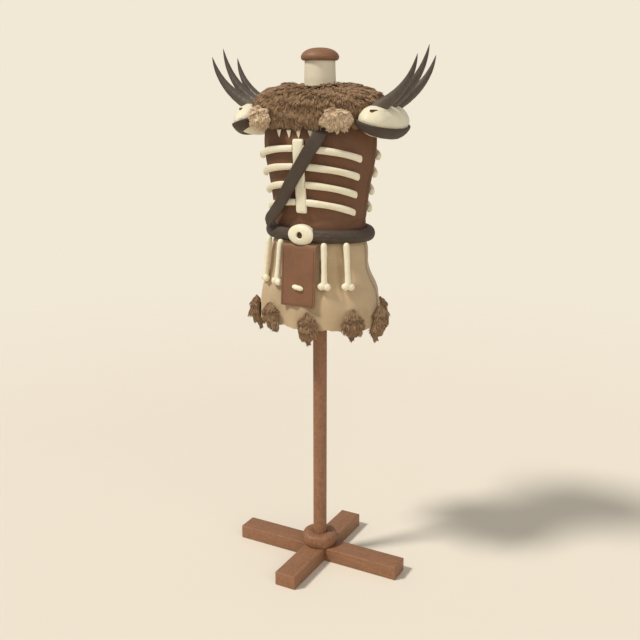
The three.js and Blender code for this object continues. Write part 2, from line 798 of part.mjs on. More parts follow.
function buildRibs() {
  for (let row = 0; row < RIB_ROWS; row += 1) {
    const size = torsoSize(ribHeight(row, 0), ON_VEST);
    const start = THREE.MathUtils.radToDeg(Math.asin((STERNUM_HALF_WIDTH + RIB_GAP) / size.a));
    for (const side of [-1, 1]) {
      const rings = ribBar(row, side * start, side * RIB_END, 0, 8);
      rings.push(ribRing(side * (RIB_END + RIB_END_TURN), ribHeight(row, RIB_END), RIB_END_SIZE));
      const name = `rib_${side < 0 ? 'right' : 'left'}_${row + 1}`;
      addPiece(name, loft(rings), BONE);
    }
    const endHeight = ribHeight(row, 180 - BACK_RIB_END);
    const rings = [
      ribRing(BACK_RIB_END - RIB_END_TURN, endHeight, RIB_END_SIZE),
      ...ribBar(row, BACK_RIB_END, 360 - BACK_RIB_END, 180, 14),
      ribRing(360 - BACK_RIB_END + RIB_END_TURN, endHeight, RIB_END_SIZE),
    ];
    addPiece(`rib_back_${row + 1}`, loft(rings), BONE);
  }
}

// Teeth: fangs sewn on in a row just under the mantle's edge
function buildTeeth() {
  TOOTH_PLACES.forEach((x, i) => {
    const size = torsoSize(TOOTH_TIP, SEAT);
    const angle = THREE.MathUtils.radToDeg(Math.asin(x / size.a));
    const normal = outwardAt(angle);
    const across = new THREE.Vector3(-normal.y, normal.x, 0);
    const rings = TOOTH_SHAPE.map(({ share, width, out }) => {
      const centre = onTorso(angle, mix(TOOTH_TOP, TOOTH_TIP, share), SEAT);
      const ring = [];
      for (let s = 0; s < TOOTH_SIDES; s += 1) {
        const turn = (s * 2 * Math.PI) / TOOTH_SIDES;
        ring.push(centre.clone()
          .addScaledVector(across, Math.cos(turn) * width * TOOTH_WIDTH / 2)
          .addScaledVector(normal, (1 + Math.sin(turn)) * out * TOOTH_THICKNESS / 2));
      }
      return ring;
    });
    addPiece(`tooth_${i + 1}`, loft(rings), BONE);
  });
}

// Strap: a flat band from the left shoulder to the right hip, cut clear of the belt that it ends on
function strapBand(rows) {
  const centres = rows.map((row) => onTorso(row.angle, row.z, row.lift));
  const half = STRAP_WIDTH / 2;
  const rings = centres.map((centre, i) => {
    const before = centres[Math.max(i - 1, 0)];
    const after = centres[Math.min(i + 1, rows.length - 1)];
    const along = after.clone().sub(before).normalize();
    const across = new THREE.Vector3().crossVectors(along, outwardAt(rows[i].angle)).normalize();
    const out = new THREE.Vector3().crossVectors(across, along).normalize();
    const edge = (side) => centre.clone().addScaledVector(across, side * half);
    const corner = (side, lift) => edge(side).addScaledVector(out, lift);
    return [corner(-1, 0), corner(1, 0), corner(1, STRAP_THICKNESS), corner(-1, STRAP_THICKNESS)];
  });
  return solidOf(loft(rings)).subtract(beltSolid(SEAM));
}

function buildStraps() {
  addPiece('strap_front', geometryOf(strapBand(STRAP_FRONT)), DARK_LEATHER);
  const behind = STRAP_FRONT.map((row) => ({ ...row, angle: 180 - row.angle }));
  addPiece('strap_back', geometryOf(strapBand(behind)), DARK_LEATHER);
}

// Hanging bones: a shaft with a round head in the belt's underside and two knuckles at the bottom
function hangingBonePlaces(row) {
  const top = onOval(
    row.top,
    WAIST_A + BELT_CLEARANCE + BELT_REACH_SIDE,
    WAIST_A * DEPTH_RATIO + BELT_CLEARANCE + BELT_REACH_FRONT,
    row.hingeZ,
  );
  return { top, bottom: onSkirt(row.bottom, BONE_KNUCKLE_Z, BONE_KNUCKLE_LIFT) };
}

function buildHangingBones() {
  for (const row of HANGING_BONES) {
    const { top, bottom } = hangingBonePlaces(row);
    const length = top.distanceTo(bottom);
    const shaft = turned([
      ...BONE_HEAD.map(({ radius, rise }) => [radius, rise]),
      ...BONE_SHAFT.map(({ radius, share }) => [radius, -length * share]),
      [0, -length - BONE_END],
    ], BONE_SIDES);
    let bone = solidOf(closed(shaft));
    for (const side of [-1, 1]) {
      const knuckle = ellipsoid(BONE_KNUCKLE_RADIUS, BONE_KNUCKLE_RADIUS * 0.94, BONE_KNUCKLE_RADIUS, 8, 6);
      knuckle.translate(side * BONE_KNUCKLE_SPACING, 0, -length);
      bone = bone.add(solidOf(knuckle));
    }
    const geometry = geometryOf(bone);
    const up = top.clone().sub(bottom).normalize();
    const angle = radians(row.bottom);
    const side = new THREE.Vector3(Math.cos(angle), Math.sin(angle) * DEPTH_RATIO, 0);
    const out = new THREE.Vector3().crossVectors(up, side).normalize();
    const across = new THREE.Vector3().crossVectors(out, up).normalize();
    geometry.applyMatrix4(new THREE.Matrix4().makeBasis(across, out, up).setPosition(top));
    addPiece(row.name, outward(geometry), BONE);
  }
}

// A faceted fur clump: rings of uneven points between a top and a pointed bottom
function clump(halfWidth, halfDepth, halfHeight, lean, tuck, seed) {
  return CLUMP_ROWS.map(({ height, size, bump }, r) => {
    const ring = [];
    for (let s = 0; s < CLUMP_SIDES; s += 1) {
      const turn = ((s + CLUMP_TWIST * r) * 2 * Math.PI) / CLUMP_SIDES;
      const number = seed + r * CLUMP_SIDES + s;
      const reach = size * (1 + CLUMP_UNEVEN * uneven(number));
      ring.push(new THREE.Vector3(
        Math.cos(turn) * reach * halfWidth - lean * Math.min(height, 0),
        Math.sin(turn) * reach * halfDepth - tuck * Math.min(height, 0),
        height * halfHeight + bump * uneven(number + 50),
      ));
    }
    return ring;
  });
}

function buildHemTufts() {
  const heights = SKIRT.map((row) => row.z).filter((z) => z > SKIRT_HEM && z <= TUFT_REACH);
  const skirtFill = solidOf(loft([SKIRT_HEM - SEAT, ...heights].map((z) => skirtRing(z, SEAT))));
  HEM_TUFTS.forEach((row, i) => {
    const turn = new THREE.Matrix4().makeRotationZ(Math.atan2(
      Math.sin(radians(row.angle)) * DEPTH_RATIO,
      Math.cos(radians(row.angle)),
    ));
    const place = onSkirt(row.angle, row.z, HEM_TUFT_LIFT);
    const rings = clump(row.width / 2, HEM_TUFT_HALF_DEPTH, row.height / 2, row.lean, row.tuck, 10 * i)
      .map((ring) => ring.map((point) => point.applyMatrix4(turn).add(place)));
    addPiece(`hem_tuft_${i + 1}`, geometryOf(solidOf(loft(rings)).subtract(skirtFill)), BROWN_FUR);
  });
}

// Mantle: a thick ring of pelt that lies on the shoulders and stands off the chest over the teeth
function mantleOval(angle, a, b, z) {
  const sine = Math.sin(radians(angle));
  const cosine = Math.cos(radians(angle));
  const power = 2 / MANTLE_SQUARENESS;
  return new THREE.Vector3(
    a * Math.sign(sine) * Math.abs(sine) ** power,
    -b * Math.sign(cosine) * Math.abs(cosine) ** power,
    z,
  );
}

function mantleOuterRings(grow) {
  return MANTLE_OUTER.map(({ z, a, b, lumps }, r) => {
    const ring = [];
    for (let s = 0; s < ROUND; s += 1) {
      const angle = (s * 360) / ROUND;
      const lump = lumps * uneven(r * 41 + s);
      const away = Math.min(angle, 360 - angle);
      const notch = r < 2 ? MANTLE_NOTCH_DEPTH * Math.exp(-((away / MANTLE_NOTCH_SPREAD) ** 2)) : 0;
      const rise = r > 0 ? MANTLE_RISE * lumps * uneven(r * 17 + s + 300) : 0;
      ring.push(mantleOval(angle, a + lump + grow, b + lump + grow, z + rise - notch));
    }
    return ring;
  });
}

function buildMantle() {
  const inner = MANTLE_INNER.map(({ z, side, front }) => {
    const size = torsoSize(z, 0);
    return ovalRing(size.a + side, size.b + front, z);
  });
  addPiece('mantle', loft([...inner, ...mantleOuterRings(0)], true), BROWN_FUR);
  // What sits on the mantle is cut clear of it and of all that it covers
  const torso = solidOf(loft(SHOULDER_HEIGHTS.map((z) => torsoRing(z, SEAT))));
  const clear = solidOf(loft(mantleOuterRings(SEAT))).add(torso);
  const strap = solidOf(loft([SHOULDER_HEIGHTS[0], STRAP_HIDDEN].map((z) => torsoRing(z, STRAP_ROOM))));
  for (const side of [-1, 1]) {
    const turn = new THREE.Matrix4().makeRotationZ(radians(side * TAN_TUFT.turn));
    const lay = new THREE.Matrix4().makeRotationY(Math.PI / 2);
    const place = new THREE.Vector3(side * TAN_TUFT.x, TAN_TUFT.y, TAN_TUFT.z);
    const { halfWidth, halfDepth, halfHeight, lean } = TAN_TUFT;
    const rings = clump(halfHeight, halfDepth, halfWidth, lean * side, 0, 200 + side)
      .map((ring) => ring.map((point) => point.applyMatrix4(lay).applyMatrix4(turn).add(place)));
    const tuft = largest(solidOf(loft(rings)).subtract(clear).subtract(strap));
    addPiece(`tan_tuft_${side < 0 ? 'right' : 'left'}`, geometryOf(tuft), TAN_FUR);
  }
  return clear;
}

// Keeps the biggest body of a cut
function largest(solid) {
  return solid.decompose().sort((a, b) => b.volume() - a.volume())[0];
}

// Shoulder skulls with their rims and horns
function skullSolid(side, grow) {
  const { halfWidth, halfLength, halfHeight } = SKULL;
  const geometry = ellipsoid(halfWidth + grow, halfLength + grow, halfHeight + grow, 16, 10);
  geometry.rotateY(radians(side * SKULL.tip));
  geometry.translate(side * SKULL.x, SKULL.y, SKULL.z);
  return solidOf(geometry);
}

// A wide block on one side of the sloping plane that falls away from the body
function slab(side, cornerX, cornerZ, slope, above) {
  const reach = 400;
  const geometry = new THREE.BoxGeometry(reach, reach, reach);
  geometry.translate(0, 0, above ? reach / 2 : -reach / 2);
  geometry.rotateY(side * Math.atan(slope));
  geometry.translate(side * cornerX, 0, cornerZ);
  return solidOf(geometry);
}

function hornRings(side, row) {
  const root = new THREE.Vector3(side * row.rootX, row.rootY, row.rootZ);
  const tip = new THREE.Vector3(side * row.tipX, row.tipY, row.tipZ);
  const bend = new THREE.Vector3(side * row.bendX, mix(row.rootY, row.tipY, HORN_BEND_SHARE), row.bendZ);
  const curve = new THREE.QuadraticBezierCurve3(root, bend, tip);
  const rings = [];
  for (let i = 0; i <= HORN_STATIONS; i += 1) {
    const share = i / HORN_STATIONS;
    const centre = curve.getPoint(share);
    const along = curve.getTangent(share);
    const across = new THREE.Vector3(0, 1, 0).cross(along).normalize();
    const other = new THREE.Vector3().crossVectors(along, across);
    const radius = Math.max(HORN_RADIUS * (1 - share) ** HORN_TAPER, HORN_TIP_RADIUS);
    const ring = [];
    for (let s = 0; s < HORN_SIDES; s += 1) {
      const turn = (s * 2 * Math.PI) / HORN_SIDES;
      ring.push(centre.clone()
        .addScaledVector(across, Math.cos(turn) * radius)
        .addScaledVector(other, Math.sin(turn) * radius));
    }
    rings.push(ring);
  }
  // The root goes on into the skull, where it is cut off at the bone
  const sink = curve.getTangent(0).multiplyScalar(-HORN_SINK);
  rings.unshift(rings[0].map((point) => point.clone().add(sink)));
  return rings;
}

function buildShoulders(mantleClear) {
  const tan = Math.tan(radians(SKULL.tip));
  for (const side of [-1, 1]) {
    const hand = side < 0 ? 'right' : 'left';
    const socketShape = new THREE.Shape(SOCKET.map(({ y, z }) => new THREE.Vector2(y, z)));
    const socketGeometry = new THREE.ExtrudeGeometry(socketShape, { depth: 100, bevelEnabled: false });
    const push = side * SOCKET_FLOOR_X;
    // The outline is drawn in Y and Z and pushed outwards along X
    const lay = new THREE.Matrix4().set(0, 0, side, push, 1, 0, 0, 0, 0, 1, 0, 0, 0, 0, 0, 1);
    socketGeometry.applyMatrix4(lay);
    const socket = solidOf(closed(socketGeometry));
    const clearSkull = skullSolid(side, SEAT);
    const skull = largest(skullSolid(side, 0).subtract(mantleClear).subtract(socket));
    addPiece(`skull_${hand}`, geometryOf(skull), BONE);

    const belowTop = slab(side, SKULL.x, SKULL.z - RIM_TOP_DROP, tan, false);
    const aboveLow = slab(side, RIM_LOW.x, RIM_LOW.z, RIM_LOW.slope, true);
    const rim = largest(skullSolid(side, RIM_THICKNESS)
      .subtract(clearSkull)
      .intersect(belowTop)
      .intersect(aboveLow)
      .subtract(mantleClear));
    addPiece(`skull_rim_${hand}`, geometryOf(rim), DARK_LEATHER);

    for (const row of HORNS) {
      const horn = largest(solidOf(loft(hornRings(side, row))).subtract(clearSkull).subtract(mantleClear));
      addPiece(`horn_${hand}_${row.name}`, geometryOf(horn), HORN);
    }
  }
}

buildStand();
buildVest();
buildSkirt();
buildBelt();
buildFlap();
buildSternum();
buildRibs();
buildTeeth();
buildStraps();
buildHangingBones();
buildHemTufts();
buildShoulders(buildMantle());

export default armour;
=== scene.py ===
"""Bone armour on a limbless dress form: the finish, the leather, the fur and the bone of every piece."""

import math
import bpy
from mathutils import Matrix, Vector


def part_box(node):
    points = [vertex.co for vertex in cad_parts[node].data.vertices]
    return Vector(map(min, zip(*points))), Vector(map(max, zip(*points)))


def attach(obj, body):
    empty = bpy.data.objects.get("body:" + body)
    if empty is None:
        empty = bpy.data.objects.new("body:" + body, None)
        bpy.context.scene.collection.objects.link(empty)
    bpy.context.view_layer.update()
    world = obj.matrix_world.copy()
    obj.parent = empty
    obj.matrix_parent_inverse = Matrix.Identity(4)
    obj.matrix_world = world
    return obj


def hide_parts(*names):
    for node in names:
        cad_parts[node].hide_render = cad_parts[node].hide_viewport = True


bl_info = {
    "name": "Bone armour",
    "version": (1, 0, 0),
    "blender": (4, 5, 0),
    "location": "3D View > Sidebar > Armour",
    "description": "Builds bone armour on its dress form and stand around the packed frame",
    "category": "Add Mesh",
}

import bmesh
import bpy
import numpy as np
from bpy.props import FloatProperty, FloatVectorProperty, IntProperty, PointerProperty
from mathutils import Vector, kdtree

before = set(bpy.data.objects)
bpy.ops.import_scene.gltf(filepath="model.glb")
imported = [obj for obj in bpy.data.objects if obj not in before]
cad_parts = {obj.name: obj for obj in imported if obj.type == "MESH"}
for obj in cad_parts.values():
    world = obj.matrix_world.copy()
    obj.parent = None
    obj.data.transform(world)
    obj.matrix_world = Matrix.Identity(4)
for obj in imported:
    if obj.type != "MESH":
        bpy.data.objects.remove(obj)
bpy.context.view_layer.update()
BODY = "armour"

# Torso, the leather's outer face: height, half width, and half depth over half width
TORSO = np.array([
    (1.100, 0.1495, 0.70),
    (1.133, 0.1500, 0.70),
    (1.165, 0.1510, 0.70),
    (1.220, 0.1560, 0.70),
    (1.270, 0.1630, 0.70),
    (1.325, 0.1735, 0.70),
    (1.362, 0.1803, 0.70),
    (1.390, 0.1830, 0.70),
    (1.425, 0.1830, 0.70),
    (1.465, 0.1760, 0.69),
    (1.495, 0.1630, 0.66),
    (1.515, 0.1420, 0.64),
    (1.530, 0.1140, 0.69),
    (1.541, 0.0920, 0.74),
    (1.556, 0.0650, 0.90),
    (1.575, 0.0530, 1.00),
])
DEPTH_RATIO = 0.7
ARMHOLE = {"z": 1.482, "half_depth": 0.054, "half_height": 0.037}
VEST_HEM = 1.133
VEST_TOP = 1.541
# Form under the leather: how far in it lies, and more so that the creases stay clear of it
FORM_INSET = 0.0046
CREASE_ROOM = 0.0028
FORM_BOTTOM = 0.900
NECK_LOW = 1.575
NECK_TOP = 1.6464

# Hips of the form, drawn in under the skirt's creases: height, half width, half depth
FORM_HIPS = (
    (FORM_BOTTOM, 0.118, 0.080),
    (0.902, 0.140, 0.096),
    (0.908, 0.152, 0.106),
    (0.930, 0.165, 0.115),
    (0.970, 0.164, 0.1135),
    (1.000, 0.158, 0.1095),
    (1.025, 0.151, 0.105),
    (1.060, 0.147, 0.102),
    (1.100, 0.1435, 0.0995),
)

# Neck of the form: height and radius
NECK = ((1.590, 0.0478), (1.602, 0.0472), (1.625, 0.0464), (NECK_TOP, 0.046))

# Neck cap: radius and height of its low edge, then its full radius and top
CAP_EDGE = ((0.048, 0.0), (0.0535, 0.0015), (0.0566, 0.0055), (0.0576, 0.0105))
CAP_RADIUS = 0.0576
CAP_TOP = 1.6843

# Skirt, the hide's outer face: height and half width
SKIRT = np.array([
    (0.850, 0.2050),
    (0.885, 0.2040),
    (0.920, 0.2025),
    (0.942, 0.1995),
    (0.962, 0.1950),
    (0.980, 0.1875),
    (1.000, 0.1765),
    (1.020, 0.1680),
    (1.042, 0.1625),
    (1.075, 0.1600),
    (1.105, 0.1550),
    (1.117, 0.1504),
    (1.129, 0.1500),
])
SKIRT_HEM = 0.850
SKIRT_TOP = 1.129
FOLD_START = 1.090

# Soft folds of the skirt: place round the body, depth at the hem (negative is a trough), spread
SKIRT_FOLDS = (
    (14, -0.0050, 7),
    (38, -0.006, 10),
    (68, 0.0035, 12),
    (104, -0.0058, 10),
    (128, 0.0025, 9),
    (150, -0.004, 8),
    (168, 0.003, 10),
    (188, -0.005, 9),
    (226, 0.0035, 12),
    (262, -0.0035, 13),
    (292, -0.0034, 6),
    (304, 0.0030, 6),
    (316, -0.0056, 6),
    (343, -0.0062, 6.5),
    (0, 0.0025, 8),
)
HIP_EASE = {"angle": 299, "spread": 24, "z": 1.052, "reach": 0.062, "depth": 0.009}

# Creases: start angle and height, end angle and height, depth (negative is a trough), half width
SKIRT_CREASES = (
    (17, 1.112, 21, 0.960, -0.0043, 0.008),
    (30, 1.108, 27, 1.020, 0.0023, 0.007),
    (39, 1.112, 47, 0.930, -0.0032, 0.009),
    (60, 1.110, 57, 1.000, -0.0026, 0.006),
    (78, 1.108, 84, 0.940, 0.0023, 0.009),
    (97, 1.112, 92, 0.985, -0.0035, 0.007),
    (121, 1.110, 126, 0.930, -0.0029, 0.009),
    (140, 1.108, 137, 1.020, 0.0022, 0.006),
    (163, 1.112, 159, 0.950, -0.0038, 0.008),
    (178, 1.108, 181, 1.010, 0.0020, 0.006),
    (200, 1.112, 205, 0.925, -0.0032, 0.009),
    (219, 1.110, 216, 0.990, -0.0023, 0.006),
    (243, 1.108, 249, 0.945, -0.0035, 0.008),
    (268, 1.112, 265, 1.005, 0.0022, 0.007),
    (285, 1.110, 281, 0.955, -0.0029, 0.0108),
    (316, 1.112, 321, 0.960, -0.0038, 0.0108),
    (341, 1.110, 338, 0.930, -0.0026, 0.0121),
    (356, 0.935, 3, 0.868, -0.0020, 0.010),
    (64, 0.930, 72, 0.862, -0.0029, 0.012),
    (112, 0.935, 104, 0.860, -0.0029, 0.012),
)
VEST_CREASES = (
    (6, 1.172, 34, 1.190, -0.0033, 0.006),
    (22, 1.196, 52, 1.178, -0.0027, 0.005),
    (58, 1.168, 86, 1.186, -0.0036, 0.006),
    (-8, 1.186, -34, 1.172, -0.0030, 0.006),
    (-30, 1.190, -56, 1.206, -0.0024, 0.005),
    (-62, 1.176, -86, 1.168, -0.0033, 0.006),
    (70, 1.245, 88, 1.228, -0.0024, 0.006),
    (-70, 1.238, -87, 1.252, -0.0024, 0.006),
    (72, 1.440, 84, 1.380, -0.0030, 0.009),
    (-72, 1.440, -84, 1.380, -0.0030, 0.009),
    (100, 1.176, 128, 1.192, -0.0033, 0.006),
    (134, 1.168, 166, 1.182, -0.0030, 0.006),
    (172, 1.192, 204, 1.174, -0.0033, 0.006),
    (210, 1.180, 238, 1.196, -0.0030, 0.005),
    (244, 1.186, 266, 1.170, -0.0033, 0.006),
    (180, 1.420, 181, 1.210, -0.0033, 0.012),
)
METRES_PER_DEGREE = 0.0024

# A panel of vest or skirt reaches this many degrees each way from its middle
HALF_PANEL = 89.9

# Rolled belt's section: share of the way out from the body, and share of the half height
BELT_SECTION = np.array([
    (0.00, -0.75),
    (0.14, -0.95),
    (0.42, -1.00),
    (0.70, -0.86),
    (0.92, -0.48),
    (1.00, 0.00),
    (0.92, 0.48),
    (0.70, 0.86),
    (0.42, 1.00),
    (0.14, 0.95),
    (0.00, 0.75),
])
WAIST_A = 0.150
BELT_MIDDLE = 1.136
BELT_HALF_HEIGHT = 0.021
BELT_CLEARANCE = 0.0015
BELT_REACH_SIDE = 0.030
BELT_REACH_FRONT = 0.021

# Ribs and sternum
ON_VEST = 0.0009
RIB_TOP_ROW = 1.397
RIB_SPACING = 0.0532
RIB_ROWS = 4
RIB_END = 64.2
RIB_DROOP = 0.030
RIB_DROOP_ANGLE = 63
RIB_CAP_ANGLE = 2.6
BACK_RIB_END = 113.8
STERNUM_TOP = 1.4245
STERNUM_BOTTOM = 1.205
STERNUM_HALF_WIDTH = 0.0175
STERNUM_THICKNESS = 0.014
STERNUM_END = 0.007

# Teeth: place across the chest, with the height of the root and of the tip
TOOTH_PLACES = (-0.072, -0.036, 0.0, 0.036)
TOOTH_TOP = 1.452
TOOTH_TIP = 1.426
TOOTH_WIDTH = 0.016
TOOTH_THICKNESS = 0.009

# Strap: place round the body, height, lift off the vest
STRAP_PATH = np.array([
    (25.4, 1.461, 0.0011),
    (22.0, 1.444, 0.0040),
    (18.0, 1.423, 0.0140),
    (13.0, 1.397, 0.0190),
    (7.5, 1.367, 0.0190),
    (1.3, 1.336, 0.0190),
    (-6.0, 1.303, 0.0190),
    (-13.8, 1.269, 0.0190),
    (-20.5, 1.243, 0.0190),
    (-27.9, 1.2174, 0.0190),
    (-36.0, 1.195, 0.0220),
    (-43.0, 1.177, 0.0270),
    (-49.0, 1.161, 0.0275),
])

# Boss, flap and toggle
BOSS = {"y": -0.1235, "z": 1.1393, "half_width": 0.0435, "half_depth": 0.013, "half_height": 0.032}
BOSS_HOLE_RADIUS = 0.0105
BOSS_BACK = -0.112
FLAP_WIDTH = 0.117
FLAP_PATH = np.array([
    (-0.1120, 1.1123),
    (-0.1270, 1.1123),
    (-0.1320, 1.1080),
    (-0.1340, 1.1000),
    (-0.1385, 1.0300),
    (-0.1425, 0.9650),
    (-0.1452, 0.9210),
])
FLAP_STITCH_INSET = 0.006
FLAP_STITCH_TOP = 1.096
FLAP_STITCH_LOW = 0.927
TOGGLE = {"y": -0.1420, "z": 0.980, "half_width": 0.020, "half_height": 0.009, "depth": 0.009, "tilt": 8}

# Hanging bones: node, body, angle of the hinge, angle of the knuckle, hinge height
HANGING_BONES = (
    ("bone_right_outer", "hanging_bone_right_outer", -48.2, -48.5, 1.1114),
    ("bone_right_inner", "hanging_bone_right_inner", -24.5, -25.1, 1.1105),
    ("bone_left_inner", "hanging_bone_left_inner", 24.5, 25.1, 1.1105),
    ("bone_left_outer", "hanging_bone_left_outer", 48.2, 48.5, 1.1114),
)
BONE_KNUCKLE_Z = 0.989
BONE_KNUCKLE_LIFT = 0.0145

# A bone's head: share of its radius above the hinge, with the radius there
BONE_HEAD = ((0.98, 0.0020), (0.86, 0.0052), (0.55, 0.0082))
# Its shaft: share of the length below the hinge, with the radius there
BONE_SHAFT = ((0.22, 0.0093), (0.5, 0.0088), (0.75, 0.0091), (0.9, 0.0098), (1.0, 0.0100))
# Its two knuckles: place across, drop, half width, half depth, half height
BONE_KNUCKLES = ((-0.0085, 0.0, 0.0122, 0.0114, 0.0118), (0.0085, 0.0012, 0.0118, 0.0110, 0.0120))

# Lower edge of the mantle, and how many tufts the hem has
MANTLE_LOW = 1.458
HEM_TUFTS = 9

# Skulls: centre, half sizes, outward tip
SKULL = {"x": 0.2125, "z": 1.4765, "half": (0.062, 0.124, 0.051), "tip": 16}

# Eye socket: its corners, the place of its floor, how round its corners are
SOCKET = ((-0.112, 1.514), (-0.087, 1.509), (-0.108, 1.500))
SOCKET_FLOOR_X = 0.214
SOCKET_ROUND = 0.16
# Its walls: distance out from the floor, and size against the outline
SOCKET_WALLS = ((0.0, 0.35), (0.002, 0.72), (0.008, 0.92), (0.02, 1.04), (0.1, 1.3))

# Leather rim round a skull
RIM_TOP_DROP = 0.004
RIM_LOW = {"x": 0.165, "z": 1.465, "slope": 0.5}
RIM_THICKNESS = 0.009

# Horns: name, then the places of the root, the bend and the tip
HORNS = (
    ("front", (0.224, -0.050, 1.519), (0.321, -0.0623, 1.568), (0.3405, -0.0705, 1.660)),
    ("middle", (0.228, 0.0, 1.522), (0.327, 0.0, 1.580), (0.347, 0.0, 1.687)),
    ("rear", (0.224, 0.050, 1.519), (0.321, 0.0623, 1.568), (0.3405, 0.0705, 1.660)),
)
HORN_RADIUS = 0.020
HORN_TAPER = 0.72

# Stitch: place along it, height over the leather, radius
STITCH_SHAPE = (
    (-0.5, -0.0007, 0.0003),
    (-0.36, 0.0003, 0.00062),
    (0.0, 0.0006, 0.0007),
    (0.36, 0.0003, 0.00062),
    (0.5, -0.0007, 0.0003),
)
STITCH_SIDES = 5
STITCH_PITCH = 1.45

# Fur: places along a lock, locks in a clump, depth of the roots
LOCK_STATIONS = (0.0, 0.34, 0.68, 1.0)
LOCKS_IN_CLUMP = 13
ROOT_DEPTH = 0.003

# Lights: where each comes from, its spread in degrees, and the colours of light
KEY_FROM = (-2.05, -2.2, 3.9)
KEY_SPREAD = 10
FILL_FROM = (3.4, -2.4, 1.5)
FILL_SPREAD = 60
KEY_COLOUR = (1.0, 0.975, 0.94)
FILL_COLOUR = (1.0, 0.99, 0.97)
SOFT_COLOUR = (1.0, 0.985, 0.96, 1)

# Floor: half its width
FLOOR_REACH = 9.0

# Stand
BEAM_X_LENGTH = 0.600
BEAM_Y_LENGTH = 0.484
BEAM_WIDTH = 0.0733
BEAM_HEIGHT = 0.0466
SEAM = 0.0003
HUB_RADIUS = 0.058
HUB_HEIGHT = 0.042
HUB_FLOOR = 0.012
HUB_EASE = 0.004
POLE_RADIUS = 0.02265


def paint(red, green, blue):
    """A display colour, 0 to 255, as the linear values that the shaders read."""
    shares = (red / 255, green / 255, blue / 255)
    return tuple(((s + 0.055) / 1.055) ** 2.4 if s > 0.04045 else s / 12.92 for s in shares)


def colour_setting(name, description, default):
    return FloatVectorProperty(
        name=name, description=description, subtype="COLOR", size=3, min=0, max=1, default=default
    )


def length_setting(name, description, default):
    return FloatProperty(
        name=name, description=description, subtype="DISTANCE", unit="LENGTH", default=default
    )


def count_setting(name, description, default):
    return IntProperty(name=name, description=description, default=default)


def plain_setting(name, description, default):
    return FloatProperty(name=name, description=description, default=default)


class ArmourColours(bpy.types.PropertyGroup):
    """Colours of the leathers, furs, bone, horn and stand."""

    vest: colour_setting("Vest", "Reddish brown leather of the vest", paint(122, 84, 58))
    flap: colour_setting("Flap", "Leather of the front flap", paint(137, 96, 69))
    dark: colour_setting("Belt and straps", "Leather of the belt, straps and rims", paint(80, 66, 54))
    hide: colour_setting("Skirt hide", "Tanned hide of the skirt", paint(200, 174, 137))
    brown_fur: colour_setting("Brown fur", "Fur of the mantle and the hem", paint(166, 132, 97))
    tan_fur: colour_setting("Tan fur", "Fur of the two shoulder tufts", paint(242, 214, 176))
    bone: colour_setting("Bone", "Cleaned bone, teeth and skulls", paint(247, 238, 210))
    horn: colour_setting("Horn", "Horns on the skulls", paint(92, 80, 68))
    canvas: colour_setting("Canvas", "Cover of the dress form", paint(238, 225, 196))
    wood: colour_setting("Wood", "Stand and neck cap", paint(140, 99, 70))
    thread: colour_setting("Thread", "Waxed thread of the seams", paint(96, 74, 54))


class ArmourSizes(bpy.types.PropertyGroup):
    """Thicknesses, fur and stitches."""

    leather: length_setting("Vest leather", "Thickness of the vest", 0.0025)
    hide: length_setting("Skirt hide", "Thickness of the skirt", 0.003)
    flap: length_setting("Flap leather", "Thickness of the flap", 0.0045)
    strap_width: length_setting("Strap width", "Width of the strap", 0.041)
    strap_thickness: length_setting("Strap thickness", "Thickness of the strap", 0.008)
    rib_height: length_setting("Rib half height", "Half the height of a rib", 0.0105)
    rib_thickness: length_setting("Rib thickness", "How far a rib stands off the vest", 0.016)
    bone_radius: length_setting("Hanging bone radius", "Radius of a hanging bone's head", 0.010)
    mantle_fur: length_setting("Mantle fur", "Length of the mantle's locks", 0.030)
    tuft_fur: length_setting("Hem fur", "Length of the hem tufts' locks", 0.026)
    tan_fur: length_setting("Tan fur", "Length of the tan tufts' locks", 0.020)
    stitch: length_setting("Stitch", "Length of one stitch", 0.0052)
    mantle_locks: count_setting("Mantle locks", "Locks on each half of the mantle", 8800)
    tuft_locks: count_setting("Hem locks", "Locks on each hem tuft", 1100)
    tan_locks: count_setting("Tan locks", "Locks on each tan tuft", 1300)


class StageSettings(bpy.types.PropertyGroup):
    """Camera, floor and light."""

    lens: plain_setting("Lens", "Focal length in millimetres", 48.464)
    distance: length_setting("Camera distance", "From the pole's axis to the camera, level", 2.6881)
    height: length_setting("Camera height", "Camera above the floor", 1.57708)
    azimuth: plain_setting("Azimuth", "Turn round the object in degrees", 28.230)
    pitch: plain_setting("Pitch", "Downward tilt in degrees", 15.267)
    key: plain_setting("Key light", "Strength of the key light", 2.3)
    fill: plain_setting("Fill light", "Strength of the fill light", 0.80)
    ambient: plain_setting("Ambient", "Strength of the surroundings", 0.37)
    backdrop: colour_setting("Backdrop", "Pale floor and surroundings", paint(242, 232, 214))


def colours():
    return bpy.context.scene.armour_colours


def sizes():
    return bpy.context.scene.armour_sizes


# Numeric helpers


def radians(degrees):
    return np.radians(degrees)


def unit(vectors):
    length = np.linalg.norm(vectors, axis=-1, keepdims=True)
    return vectors / np.maximum(length, 1e-12)


def smooth_lookup(at, heights, values):
    """Reads a table with a smooth curve through its rows."""
    slopes = np.gradient(values, heights)
    row = np.clip(np.searchsorted(heights, at) - 1, 0, len(heights) - 2)
    step = heights[row + 1] - heights[row]
    share = np.clip((at - heights[row]) / step, 0, 1)
    square = share * share
    cube = square * share
    return (
        (2 * cube - 3 * square + 1) * values[row]
        + (cube - 2 * square + share) * step * slopes[row]
        + (3 * square - 2 * cube) * values[row + 1]
        + (cube - square) * step * slopes[row + 1]
    )


def round_steps(sides):
    """Angles in radians, spread evenly round a circle."""
    return np.arange(sides) * 2 * math.pi / sides


def squared(wave, power):
    """Flattens a sine or cosine wave's tops, which turns an oval into a rounded box."""
    return np.sign(wave) * np.abs(wave) ** power


